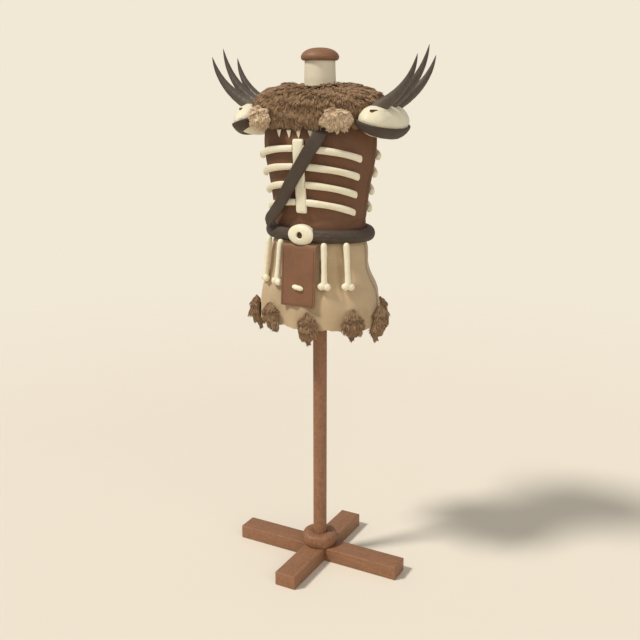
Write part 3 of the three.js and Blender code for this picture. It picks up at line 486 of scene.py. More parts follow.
def nearness(away, width):
    """1 where away is 0, fading to nothing past about twice the width."""
    return np.exp(-((away / width) ** 2))


def soft_noise(points, size, seed):
    """An uneven value from about -1 to 1 at each point, with bumps about size across."""
    draw = np.random.default_rng(seed)
    waves = 12
    total = np.zeros(points.shape[:-1])
    for _ in range(waves):
        direction = unit(draw.normal(size=3))
        pitch = size * draw.uniform(0.8, 2.2)
        total += np.sin(points @ direction * (2 * math.pi / pitch) + draw.uniform(0, 2 * math.pi))
    return total / math.sqrt(waves)


def turn_between(angle, middle):
    """The signed turn in degrees from middle to angle."""
    return (angle - middle + 540) % 360 - 180


def oval(angle, a, b, z):
    """Points round the body: angle 0 is the front and 90 the wearer's left."""
    turn = radians(angle)
    parts = np.broadcast_arrays(a * np.sin(turn), -b * np.cos(turn), z)
    return np.stack(parts, -1)


def oval_normal(angle):
    turn = radians(angle)
    return unit(np.stack([DEPTH_RATIO * np.sin(turn), -np.cos(turn), 0 * turn], -1))


def normals_at(angle, count):
    """The outward direction at one angle, once for each of count points."""
    return np.repeat(oval_normal(np.array([float(angle)])), count, 0)


def torso_half_width(z):
    return smooth_lookup(z, TORSO[:, 0], TORSO[:, 1])


def torso_depth_share(z):
    return smooth_lookup(z, TORSO[:, 0], TORSO[:, 2])


def torso(angle, z, lift):
    """Points on the vest's outer face, moved out by lift."""
    angle, z, lift = np.broadcast_arrays(angle, z, lift)
    a = torso_half_width(z)
    b = a * torso_depth_share(z)
    return oval(angle, a + lift, b + lift, z)


def creases(angle, z, rows):
    """Depth of the creases, each deepest in its middle and fading to its ends."""
    total = np.zeros(np.broadcast(angle, z).shape)
    for angle_0, z_0, angle_1, z_1, depth, width in rows:
        along = np.array([(angle_1 - angle_0) * METRES_PER_DEGREE, z_1 - z_0])
        if angle_1 - angle_0 < -180:
            along[0] += 360 * METRES_PER_DEGREE
        length = np.linalg.norm(along)
        along = along / length
        across_x = turn_between(angle, angle_0) * METRES_PER_DEGREE
        across_z = z - z_0
        share = np.clip((across_x * along[0] + across_z * along[1]) / length, 0, 1)
        away_x = across_x - share * length * along[0]
        away_z = across_z - share * length * along[1]
        near = np.exp(-(away_x**2 + away_z**2) / width**2)
        total += depth * near * np.sqrt(np.sin(np.pi * (0.06 + 0.88 * share)))
    return total


def skirt_fold(angle, z):
    """How far the skirt's soft folds and the ease at the hip move it out."""
    depth = np.zeros(np.broadcast(angle, z).shape)
    for middle, fold, spread in SKIRT_FOLDS:
        depth += fold * nearness(turn_between(angle, middle), spread)
    share = np.clip((FOLD_START - z) / (FOLD_START - SKIRT_HEM), 0, 1)
    level = np.maximum(1 - ((z - HIP_EASE["z"]) / HIP_EASE["reach"]) ** 2, 0)
    hip = nearness(turn_between(angle, HIP_EASE["angle"]), HIP_EASE["spread"])
    return depth * share**0.6 + HIP_EASE["depth"] * level * hip


def skirt_dents(angle, z):
    """Depth of the skirt's creases, which deepen below the hips."""
    return creases(angle, z, SKIRT_CREASES) * (1 + 1.8 * np.clip((1.06 - z) / 0.12, 0, 1))


def skirt(angle, z, lift):
    """Points on the skirt's outer face, moved out by lift."""
    angle, z, lift = np.broadcast_arrays(angle, z, lift)
    a = smooth_lookup(z, SKIRT[:, 0], SKIRT[:, 1])
    extra = lift + skirt_fold(angle, z)
    return oval(angle, a + extra, a * DEPTH_RATIO + extra, z)


# Meshes


def shade(piece, sharp=40):
    piece.data.shade_smooth()
    piece.data.set_sharp_from_angle(angle=math.radians(sharp))


def new_piece(name, vertices, faces, finish, sharp=40, tidy=True):
    mesh = bpy.data.meshes.new(name)
    mesh.from_pydata(np.asarray(vertices, float).tolist(), [], faces)
    if tidy:
        work = bmesh.new()
        work.from_mesh(mesh)
        bmesh.ops.recalc_face_normals(work, faces=work.faces)
        work.to_mesh(mesh)
        work.free()
    mesh.update()
    mesh.materials.append(material(finish))
    piece = bpy.data.objects.new(name, mesh)
    bpy.context.scene.collection.objects.link(piece)
    shade(piece, sharp)
    return piece


def loft(rings, wrap=False):
    """A closed skin over rings of points; wrap joins the last ring to the first in place of end caps."""
    rings = np.asarray(rings)
    count, sides = rings.shape[:2]
    faces = []
    for r in range(count if wrap else count - 1):
        low = r * sides
        high = ((r + 1) % count) * sides
        for s in range(sides):
            t = (s + 1) % sides
            faces.append((low + s, low + t, high + t, high + s))
    if not wrap:
        faces.append(tuple(range(sides))[::-1])
        faces.append(tuple(range((count - 1) * sides, count * sides)))
    return rings.reshape(-1, 3), faces


def grid_faces(rows, columns):
    index = np.arange(rows * columns).reshape(rows, columns)
    quads = np.stack([index[:-1, :-1], index[:-1, 1:], index[1:, 1:], index[1:, :-1]], -1)
    return quads.reshape(-1, 4).tolist()


def panel(name, points, thickness, finish):
    """A sheet of leather or hide: a grid of outer points, low row first, with its wall inwards."""
    rows, columns = points.shape[:2]
    piece = new_piece(name, points.reshape(-1, 3), grid_faces(rows, columns), finish, tidy=False)
    wall = piece.modifiers.new("Wall", "SOLIDIFY")
    wall.thickness = thickness
    wall.offset = -1
    wall.use_even_offset = True
    edge = piece.modifiers.new("Cut edge", "BEVEL")
    edge.width = thickness * 0.3
    edge.segments = 2
    edge.limit_method = "ANGLE"
    edge.angle_limit = math.radians(55)
    settle(piece)
    shade(piece)
    return piece


def settle(piece):
    """Applies a piece's modifiers to its mesh."""
    graph = bpy.context.evaluated_depsgraph_get()
    mesh = bpy.data.meshes.new_from_object(piece.evaluated_get(graph))
    piece.modifiers.clear()
    piece.data = mesh


def softened(piece, voxel, rounds):
    """Joins a piece's overlapping parts into one skin and smooths it."""
    skin = piece.modifiers.new("One skin", "REMESH")
    skin.mode = "VOXEL"
    skin.voxel_size = voxel
    skin.use_smooth_shade = True
    ease = piece.modifiers.new("Ease", "SMOOTH")
    ease.factor = 0.5
    ease.iterations = rounds
    settle(piece)
    piece.data.shade_smooth()


def cut_by(piece, cutter):
    """Cuts a piece back where the cutter lies, and removes the cutter."""
    cut = piece.modifiers.new("Cut", "BOOLEAN")
    cut.operation = "DIFFERENCE"
    cut.object = cutter
    cut.solver = "EXACT"
    settle(piece)
    shade(piece)
    bpy.data.objects.remove(cutter)


def belt_rings(stations, sides, grow):
    """Rings round the belt's section, and how far out from the body each point of a ring lies."""
    section = np.concatenate([BELT_SECTION, BELT_SECTION[:1]])
    steps = np.linalg.norm(np.diff(section, axis=0), axis=1)
    run = np.concatenate([[0], np.cumsum(steps)]) / steps.sum()
    at = np.arange(sides) / sides
    share = np.clip(smooth_lookup(at, run, section[:, 0]), 0, 1.02)
    height = smooth_lookup(at, run, section[:, 1])
    side_grow = np.where(share > 0.2, grow, -grow)
    rings = []
    for angle in np.arange(stations) * 360 / stations:
        roll = 0.035 * math.sin(radians(angle) * 5 + 0.6) + 0.02 * math.sin(radians(angle) * 11 + 2)
        lift = BELT_CLEARANCE + side_grow + share * roll * 0.012
        a = WAIST_A + lift + share * BELT_REACH_SIDE
        b = WAIST_A * DEPTH_RATIO + lift + share * BELT_REACH_FRONT
        rings.append(oval(angle, a, b, BELT_MIDDLE + height * (BELT_HALF_HEIGHT * (1 + roll * 0.5) + grow)))
    return rings, share


def cut_by_belt(piece):
    """Cuts a piece back where the belt lies, with a seam's gap."""
    rings, _ = belt_rings(240, 44, SEAM)
    cutter = new_piece("belt_cutter", *loft(rings, wrap=True), "dark_leather")
    cut_by(piece, cutter)


def seat(piece, body, slot, *nodes):
    """Puts a piece on its body and hides the CAD nodes that it stands for; the finish named in slot is not
    used.
    """
    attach(piece, body)
    if nodes:
        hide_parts(*nodes)


def vertices_of(mesh):
    points = np.empty(len(mesh.vertices) * 3)
    mesh.vertices.foreach_get("co", points)
    return points.reshape(-1, 3)


def normals_of(mesh):
    normals = np.empty(len(mesh.vertices) * 3)
    mesh.vertex_normals.foreach_get("vector", normals)
    return normals.reshape(-1, 3)


def move_vertices(piece, points):
    piece.data.vertices.foreach_set("co", points.ravel())
    piece.data.update()


def give_attribute(piece, name, values):
    layer = piece.data.attributes.new(name, "FLOAT", "POINT")
    layer.data.foreach_set("value", np.asarray(values, np.float32))


def thread_stitches(name, path, normals, body):
    """Saddle stitches along a line of points, each a small thread that dips into the leather at its ends."""
    steps = np.linalg.norm(np.diff(path, axis=0), axis=1)
    run = np.concatenate([[0], np.cumsum(steps)])
    length = sizes().stitch
    count = max(int(run[-1] / (length * STITCH_PITCH)), 1)
    starts = (np.arange(count) + 0.5) * run[-1] / count
    turn = round_steps(STITCH_SIDES)

    def at(distance, rows):
        return np.stack([np.interp(distance, run, rows[:, i]) for i in range(3)], -1)

    vertices = []
    faces = []
    for start in starts:
        middle = at(start, path)
        up = unit(at(start, normals))
        along = unit(at(start + 0.001, path) - at(start - 0.001, path))
        side = unit(np.cross(along, up))
        rings = []
        for share, rise, thick in STITCH_SHAPE:
            centre = middle + along * share * length + up * rise
            rings.append(centre + thick * (np.outer(np.cos(turn), side) + np.outer(np.sin(turn), up)))
        made, skin = loft(rings)
        offset = len(vertices)
        vertices.extend(made.tolist())
        faces.extend(tuple(v + offset for v in face) for face in skin)
    seat(new_piece(name, vertices, faces, "thread"), body, "dark_leather")


# Fur


def fur(name, base, count, length, width, rise, flow, keep, seed, finish):
    """Tapered locks on a base, gathered in pointed clumps that follow the flow.

    flow gives the lie of the hair at points, and keep says which faces of the base carry hair.
    """
    draw = np.random.default_rng(seed)
    mesh = base.data
    mesh.calc_loop_triangles()
    corners = np.empty(len(mesh.loop_triangles) * 3, np.int32)
    mesh.loop_triangles.foreach_get("vertices", corners)
    corners = corners.reshape(-1, 3)
    points = vertices_of(mesh)
    normals = normals_of(mesh)
    a, b, c = (points[corners[:, i]] for i in range(3))
    area = np.linalg.norm(np.cross(b - a, c - a), axis=1)
    area = area * keep((a + b + c) / 3, unit(np.cross(b - a, c - a)))
    pick = draw.choice(len(area), count, p=area / area.sum())
    u = np.sqrt(draw.uniform(size=(count, 1)))
    v = draw.uniform(size=(count, 1))
    weights = np.concatenate([1 - u, u * (1 - v), u * v], 1)
    root = np.einsum("ni,nij->nj", weights, points[corners[pick]])
    normal = unit(np.einsum("ni,nij->nj", weights, normals[corners[pick]]))
    lean = flow(root) + draw.normal(scale=0.22, size=(count, 3))
    forward = unit(lean - normal * np.sum(lean * normal, 1, keepdims=True))
    side = np.cross(forward, normal)

    reach = length * draw.uniform(0.7, 1.15, size=(count, 1))
    wide = width * draw.uniform(0.65, 1.2, size=(count, 1))
    curl = draw.normal(scale=0.10, size=(count, 1))
    lift = rise * draw.uniform(0.6, 1.3, size=(count, 1))

    def centre(share):
        ahead = reach * (0.82 * share + 0.14 * share**2)
        above = reach * lift * (1.7 * share - 1.25 * share**2)
        aside = reach * curl * math.sin(share * 2.6)
        return root + forward * ahead + normal * above + side * aside

    clumps = max(count // LOCKS_IN_CLUMP, 1)
    tree = kdtree.KDTree(clumps)
    tips = centre(1.0)
    for i in range(clumps):
        tree.insert(root[i], i)
    tree.balance()
    nearest = np.array([tree.find(point)[1] for point in root])
    pull = (tips[nearest] - tips) * draw.uniform(0.45, 0.8, size=(count, 1))
    tone = 0.55 * draw.uniform(size=count) + 0.45 * draw.uniform(size=clumps)[nearest]

    rings = []
    shares = []
    for share in LOCK_STATIONS[:-1]:
        middle = centre(share) + pull * share**2 - normal * ROOT_DEPTH * (1 - share)
        half = wide * (1 - share) ** 0.55 * (0.5 + 0.18 * math.sin(share * 3.0))
        rings.append(middle - side * half)
        rings.append(middle + side * half)
        rings.append(middle + normal * half * 0.9)
        shares.extend([share] * 3)
    rings.append(tips + pull)
    shares.append(1.0)
    each = len(rings)
    vertices = np.stack(rings, 1).reshape(-1, 3)
    levels = len(LOCK_STATIONS) - 1
    quads = [
        (3 * k + i, 3 * k + (i + 1) % 3, 3 * k + 3 + (i + 1) % 3, 3 * k + 3 + i)
        for k in range(levels - 1)
        for i in range(3)
    ]
    last = 3 * (levels - 1)
    points_in = [(last + i, last + (i + 1) % 3, last + 3) for i in range(3)]
    starts = np.arange(count)[:, None, None] * each
    faces = (np.array(quads)[None] + starts).reshape(-1, 4).tolist()
    faces += (np.array(points_in)[None] + starts).reshape(-1, 3).tolist()
    faces += (np.array([(2, 1, 0)])[None] + starts).reshape(-1, 3).tolist()
    piece = new_piece(name, vertices, faces, finish, sharp=180, tidy=False)
    give_attribute(piece, "tone", np.repeat(tone, each))
    give_attribute(piece, "along", np.tile(shares, count))
    return piece


def clump_base(name, node, voxel, inset, rounds, finish):
    """A rounded copy of a fur node, drawn in so that the locks reach the node's own outline."""
    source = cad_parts[node].data.copy()
    source.materials.clear()
    source.materials.append(material(finish))
    piece = bpy.data.objects.new(name, source)
    bpy.context.scene.collection.objects.link(piece)
    softened(piece, voxel, rounds)
    move_vertices(piece, vertices_of(piece.data) - normals_of(piece.data) * inset)
    give_attribute(piece, "tone", np.full(len(piece.data.vertices), 0.3))
    give_attribute(piece, "along", np.zeros(len(piece.data.vertices)))
    return piece


# Shader groups and materials

GROUPS = {}
MATERIALS = {}


def add_node(tree, kind, inputs=None, **settings):
    """A shader node with its settings, and its inputs set to values or linked to sockets."""
    made = tree.nodes.new(kind)
    for key, value in settings.items():
        setattr(made, key, value)
    for key, value in (inputs or {}).items():
        if isinstance(value, bpy.types.NodeSocket):
            tree.links.new(value, made.inputs[key])
        else:
            made.inputs[key].default_value = value
    return made


def blend_colours(tree, factor, first, second):
    made = add_node(tree, "ShaderNodeMix", {0: factor, 6: first, 7: second}, data_type="RGBA")
    return made.outputs[2]


def remap(tree, value, low, high, to_low=0.0, to_high=1.0):
    made = add_node(tree, "ShaderNodeMapRange", {0: value, 1: low, 2: high, 3: to_low, 4: to_high})
    return made.outputs[0]


def maths(tree, operation, first, second=0.0):
    return add_node(tree, "ShaderNodeMath", {0: first, 1: second}, operation=operation).outputs[0]


def group_tree(name, inputs, outputs):
    """A new shader group with its named sockets."""
    tree = bpy.data.node_groups.new(name, "ShaderNodeTree")
    for label, kind, default in inputs:
        socket = tree.interface.new_socket(name=label, in_out="INPUT", socket_type=kind)
        socket.default_value = default
    for label, kind in outputs:
        tree.interface.new_socket(name=label, in_out="OUTPUT", socket_type=kind)
    return tree, tree.nodes.new("NodeGroupInput"), tree.nodes.new("NodeGroupOutput")


COLOUR = "NodeSocketColor"
NUMBER = "NodeSocketFloat"
VECTOR = "NodeSocketVector"
WHITE = (1, 1, 1, 1)


def object_noise(tree, size, detail=4.0, roughness=0.55, distortion=0.0):
    """Noise in the piece's own space, with patches about size across; size may be a socket."""
    place = add_node(tree, "ShaderNodeTexCoord").outputs["Object"]
    inputs = {"Vector": place, "Detail": detail, "Roughness": roughness, "Distortion": distortion}
    inputs["Scale"] = maths(tree, "DIVIDE", 1.0, size)
    return add_node(tree, "ShaderNodeTexNoise", inputs).outputs["Fac"]


def build_mottle():
    tree, start, end = group_tree(
        "Mottle",
        [
            ("Base", COLOUR, WHITE),
            ("Dark", COLOUR, WHITE),
            ("Light", COLOUR, WHITE),
            ("Patch Size", NUMBER, 0.05),
            ("Fleck Size", NUMBER, 0.006),
            ("Amount", NUMBER, 0.5),
        ],
        [("Color", COLOUR)],
    )
    given = start.outputs
    patches = remap(tree, object_noise(tree, given["Patch Size"]), 0.38, 0.66)
    flecks = remap(tree, object_noise(tree, given["Fleck Size"], 6.0, 0.65), 0.52, 0.78)
    patches = maths(tree, "MULTIPLY", patches, given["Amount"])
    flecks = maths(tree, "MULTIPLY", flecks, given["Amount"])
    darker = blend_colours(tree, patches, given["Base"], given["Dark"])
    final = blend_colours(tree, flecks, darker, given["Light"])
    tree.links.new(final, end.inputs["Color"])
    return tree


def build_wear():
    tree, start, end = group_tree(
        "Edge wear",
        [
            ("Color", COLOUR, WHITE),
            ("Worn", COLOUR, WHITE),
            ("Stain", COLOUR, WHITE),
            ("Amount", NUMBER, 0.5),
        ],
        [("Color", COLOUR), ("Mask", NUMBER)],
    )
    given = start.outputs
    pointed = add_node(tree, "ShaderNodeNewGeometry").outputs["Pointiness"]
    rough = remap(tree, object_noise(tree, 0.012, 5.0), 0.35, 0.65)
    edges = maths(tree, "MULTIPLY", remap(tree, pointed, 0.508, 0.56), rough)
    edges = maths(tree, "MULTIPLY", edges, given["Amount"])
    hollows = maths(tree, "MULTIPLY", remap(tree, pointed, 0.492, 0.44), given["Amount"])
    stain_and_painted_shade = blend_colours(tree, hollows, given["Color"], given["Stain"])
    tree.links.new(blend_colours(tree, edges, stain_and_painted_shade, given["Worn"]), end.inputs["Color"])
    tree.links.new(edges, end.inputs["Mask"])
    return tree


def build_grain():
    tree, start, end = group_tree(
        "Hide grain", [("Cell Size", NUMBER, 0.003), ("Crease Size", NUMBER, 0.03)], [("Height", NUMBER)]
    )
    given = start.outputs
    place = add_node(tree, "ShaderNodeTexCoord").outputs["Object"]
    scale = maths(tree, "DIVIDE", 1.0, given["Cell Size"])
    cells = add_node(
        tree, "ShaderNodeTexVoronoi", {"Vector": place, "Scale": scale}, feature="DISTANCE_TO_EDGE"
    ).outputs["Distance"]
    pebble = remap(tree, cells, 0.0, 0.22)
    crease = object_noise(tree, given["Crease Size"], 7.0, 0.62, 0.6)
    pebble = maths(tree, "MULTIPLY", pebble, 0.35)
    tree.links.new(maths(tree, "ADD", pebble, crease), end.inputs["Height"])
    return tree


def build_streaks():
    tree, start, end = group_tree(
        "Streaks", [("Stretch", VECTOR, (1, 1, 1)), ("Twist", NUMBER, 0.5)], [("Value", NUMBER)]
    )
    place = add_node(tree, "ShaderNodeTexCoord").outputs["Object"]
    pulled = add_node(
        tree, "ShaderNodeVectorMath", {0: place, 1: start.outputs["Stretch"]}, operation="MULTIPLY"
    ).outputs[0]
    inputs = {"Vector": pulled, "Scale": 1.0, "Detail": 6.0, "Roughness": 0.6}
    inputs["Distortion"] = start.outputs["Twist"]
    noise = add_node(tree, "ShaderNodeTexNoise", inputs).outputs["Fac"]
    tree.links.new(noise, end.inputs["Value"])
    return tree


def build_weave():
    tree, start, end = group_tree("Plain weave", [("Thread Size", NUMBER, 0.001)], [("Height", NUMBER)])
    place = add_node(tree, "ShaderNodeTexCoord").outputs["Object"]
    scale = maths(tree, "DIVIDE", 0.32, start.outputs["Thread Size"])
    waves = [
        add_node(
            tree,
            "ShaderNodeTexWave",
            {"Vector": place, "Scale": scale, "Distortion": 0.25, "Detail": 1.0},
            bands_direction=direction,
        ).outputs["Fac"]
        for direction in ("X", "Z")
    ]
    tree.links.new(maths(tree, "MAXIMUM", *waves), end.inputs["Height"])
    return tree


GROUP_BUILDERS = {
    "mottle": build_mottle,
    "wear": build_wear,
    "grain": build_grain,
    "streaks": build_streaks,
    "weave": build_weave,
}


def shared(tree, name, **inputs):
    """Places a shader group in a material with its own values; underscores stand for spaces."""
    if name not in GROUPS:
        GROUPS[name] = GROUP_BUILDERS[name]()
    made = tree.nodes.new("ShaderNodeGroup")
    made.node_tree = GROUPS[name]
    for key, value in inputs.items():
        socket = made.inputs[key.replace("_", " ")]
        if isinstance(value, bpy.types.NodeSocket):
            tree.links.new(value, socket)
        else:
            socket.default_value = value
    return made.outputs


def toned(colour, factor):
    return (*(min(c * factor, 1.0) for c in colour[:3]), 1.0)


def new_finish(name, roughness, **constants):
    """A material with its shader; constants are set on the shader's own sockets."""
    made = bpy.data.materials.new(name)
    made.use_nodes = True
    tree = made.node_tree
    surface = tree.nodes["Principled BSDF"]
    surface.inputs["Roughness"].default_value = roughness
    for key, value in constants.items():
        surface.inputs[key.replace("_", " ")].default_value = value
    return made, tree, surface


def add_bump(tree, surface, height, strength, distance):
    bump = add_node(tree, "ShaderNodeBump", {"Strength": strength, "Distance": distance, "Height": height})
    tree.links.new(bump.outputs["Normal"], surface.inputs["Normal"])


def mottled(tree, colour, dark, light, patch, fleck, amount):
    """The colour with darker patches and lighter flecks; dark and light are shares of it."""
    return shared(
        tree, "mottle", Base=toned(colour, 1), Dark=toned(colour, dark), Light=toned(colour, light),
        Patch_Size=patch, Fleck_Size=fleck, Amount=amount,
    )["Color"]


def worn(tree, under, colour, bright, stain, amount):
    """Rubbed edges and stains in the hollows over a colour; bright and stain are shares of colour."""
    return shared(
        tree, "wear", Color=under, Worn=toned(colour, bright), Stain=toned(colour, stain), Amount=amount
    )["Color"]


def leather(name, colour, roughness, cell, wear, bump):
    made, tree, surface = new_finish(name, roughness, Specular_IOR_Level=0.35)
    dyed = mottled(tree, colour, 0.72, 1.22, 0.07, 0.007, 0.55)
    tree.links.new(worn(tree, dyed, colour, 1.75, 0.5, wear), surface.inputs["Base Color"])
    grain = shared(tree, "grain", Cell_Size=cell, Crease_Size=0.022)["Height"]
    uneven = remap(tree, grain, 0.3, 1.1, roughness - 0.08, roughness + 0.12)
    tree.links.new(uneven, surface.inputs["Roughness"])
    add_bump(tree, surface, grain, bump, 0.0012)
    return made


def vest_leather():
    return leather("Vest leather", colours().vest, 0.62, 0.0026, 0.55, 0.42)


def flap_leather():
    return leather("Flap leather", colours().flap, 0.60, 0.0022, 0.5, 0.36)


def dark_leather():
    return leather("Belt leather", colours().dark, 0.56, 0.0024, 0.55, 0.42)


def tanned_hide():
    colour = colours().hide
    made, tree, surface = new_finish(
        "Tanned hide", 0.86, Specular_IOR_Level=0.2, Sheen_Weight=0.25, Sheen_Roughness=0.45
    )
    tanned = mottled(tree, colour, 0.8, 1.1, 0.09, 0.012, 0.5)
    tree.links.new(worn(tree, tanned, colour, 1.2, 0.7, 0.4), surface.inputs["Base Color"])
    nap = object_noise(tree, 0.0022, 6.0, 0.7)
    grain = shared(tree, "grain", Cell_Size=0.004, Crease_Size=0.03)["Height"]
    add_bump(tree, surface, maths(tree, "ADD", nap, grain), 0.32, 0.001)
    return made


def bone():
    colour = colours().bone
    made, tree, surface = new_finish(
        "Bone", 0.5, Specular_IOR_Level=0.4, Subsurface_Weight=0.06, Subsurface_Scale=0.004
    )
    yellowed = (colour[0] * 0.92, colour[1] * 0.86, colour[2] * 0.7, 1)
    aged = shared(
        tree, "mottle", Base=toned(colour, 1), Dark=yellowed, Light=toned(colour, 1.06),
        Patch_Size=0.045, Fleck_Size=0.004, Amount=0.55,
    )["Color"]
    handled = shared(
        tree, "wear", Color=aged, Worn=toned(colour, 1.05), Stain=(*paint(176, 146, 104), 1), Amount=0.6
    )["Color"]
    pores = remap(tree, object_noise(tree, 0.0016, 3.0, 0.5), 0.30, 0.42, 1.0, 0.0)
    spotted = blend_colours(tree, maths(tree, "MULTIPLY", pores, 0.5), handled, (*paint(186, 160, 118), 1))
    tree.links.new(spotted, surface.inputs["Base Color"])
    height = maths(tree, "SUBTRACT", object_noise(tree, 0.009, 6.0, 0.6), maths(tree, "MULTIPLY", pores, 0.5))
    add_bump(tree, surface, height, 0.22, 0.0009)
    return made


def socket_shadow():
    """Inside of an eye socket: painted shade, a dark brown mottle that stands in for the shade in the recess.
    """
    made, tree, surface = new_finish("Socket", 0.8, Specular_IOR_Level=0.2)
    # Painted shade: dark browns in place of the shade inside the socket
    stain_and_painted_shade = shared(
        tree, "mottle",
        Base=(*paint(104, 78, 55), 1), Dark=(*paint(74, 54, 38), 1), Light=(*paint(128, 98, 70), 1),
        Patch_Size=0.012, Fleck_Size=0.003, Amount=0.6,
    )["Color"]
    tree.links.new(stain_and_painted_shade, surface.inputs["Base Color"])
    add_bump(tree, surface, object_noise(tree, 0.003, 5.0), 0.3, 0.0008)
    return made


def horn():
    colour = colours().horn
    made, tree, surface = new_finish("Horn", 0.44, Specular_IOR_Level=0.45)
    along = add_node(tree, "ShaderNodeAttribute", attribute_name="along").outputs["Fac"]
    streak = shared(tree, "streaks", Stretch=(330, 330, 34), Twist=0.4)["Value"]
    pale = blend_colours(tree, remap(tree, streak, 0.36, 0.66), toned(colour, 0.72), toned(colour, 1.3))
    tipped = blend_colours(tree, remap(tree, along, 0.45, 1.0, 0.0, 0.55), pale, toned(colour, 0.55))
    rooted = blend_colours(tree, remap(tree, along, 0.16, 0.0, 0.0, 0.45), tipped, toned(colour, 1.7))
    tree.links.new(rooted, surface.inputs["Base Color"])
    add_bump(tree, surface, streak, 0.3, 0.0010)
    return made


def canvas():
    colour = colours().canvas
    made, tree, surface = new_finish("Canvas", 0.9, Specular_IOR_Level=0.15, Sheen_Weight=0.15)
    tree.links.new(mottled(tree, colour, 0.9, 1.04, 0.06, 0.002, 0.5), surface.inputs["Base Color"])
    add_bump(tree, surface, shared(tree, "weave", Thread_Size=0.0011)["Height"], 0.35, 0.0004)
    return made


def wood(name, stretch, factor=1.0):
    colour = toned(colours().wood, factor)
    made, tree, surface = new_finish(
        name, 0.55, Specular_IOR_Level=0.35, Coat_Weight=0.08, Coat_Roughness=0.35
    )
    lines = shared(tree, "streaks", Stretch=stretch, Twist=0.8)["Value"]
    fine = shared(tree, "streaks", Stretch=tuple(s * 3.6 for s in stretch), Twist=0.2)["Value"]
    grained = blend_colours(tree, remap(tree, lines, 0.36, 0.64), toned(colour, 0.84), toned(colour, 1.08))
    pored = blend_colours(tree, remap(tree, fine, 0.56, 0.72, 0.0, 0.32), grained, toned(colour, 0.6))
    tree.links.new(worn(tree, pored, colour, 1.5, 0.5, 0.5), surface.inputs["Base Color"])
    add_bump(tree, surface, maths(tree, "SUBTRACT", lines, fine), 0.22, 0.0008)
    return made


def fur_finish(name, colour, dark, light):
    made, tree, surface = new_finish(name, 0.78, Specular_IOR_Level=0.25, Sheen_Weight=0.12)
    tone = add_node(tree, "ShaderNodeAttribute", attribute_name="tone").outputs["Fac"]
    along = add_node(tree, "ShaderNodeAttribute", attribute_name="along").outputs["Fac"]
    base = blend_colours(tree, tone, toned(colour, dark), toned(colour, light))
    depth = remap(tree, along, 0.0, 0.55, 0.45, 0.0)
    rooted = blend_colours(tree, depth, base, toned(colour, 0.5))
    patch = shared(
        tree, "mottle", Base=rooted, Dark=toned(colour, dark), Light=toned(colour, light),
        Patch_Size=0.06, Fleck_Size=0.01, Amount=0.35,
    )["Color"]
    tree.links.new(patch, surface.inputs["Base Color"])
    return made


def thread():
    colour = colours().thread
    made, tree, surface = new_finish("Thread", 0.7)
    twist = shared(tree, "streaks", Stretch=(900, 900, 900), Twist=0.3)["Value"]
    twisted = blend_colours(tree, twist, toned(colour, 0.7), toned(colour, 1.3))
    tree.links.new(twisted, surface.inputs["Base Color"])
    add_bump(tree, surface, twist, 0.3, 0.0003)
    return made


FINISHES = {
    "vest_leather": vest_leather,
    "flap_leather": flap_leather,
    "dark_leather": dark_leather,
    "tanned_hide": tanned_hide,
    "bone": bone,
    "socket": socket_shadow,
    "horn": horn,
    "canvas": canvas,
    "wood_x": lambda: wood("Wood along X", (14, 120, 120)),
    "wood_y": lambda: wood("Wood along Y", (120, 14, 120)),
    "wood_z": lambda: wood("Wood along Z", (120, 120, 12)),
    "cap_wood": lambda: wood("Turned cap", (40, 40, 170), 1.08),
    "brown_fur": lambda: fur_finish("Brown fur", colours().brown_fur, 0.68, 1.2),
    "tan_fur": lambda: fur_finish("Tan fur", colours().tan_fur, 0.84, 1.04),
    "thread": thread,
}


def material(name):
    if name not in MATERIALS:
        MATERIALS[name] = FINISHES[name]()
    return MATERIALS[name]


# Operators


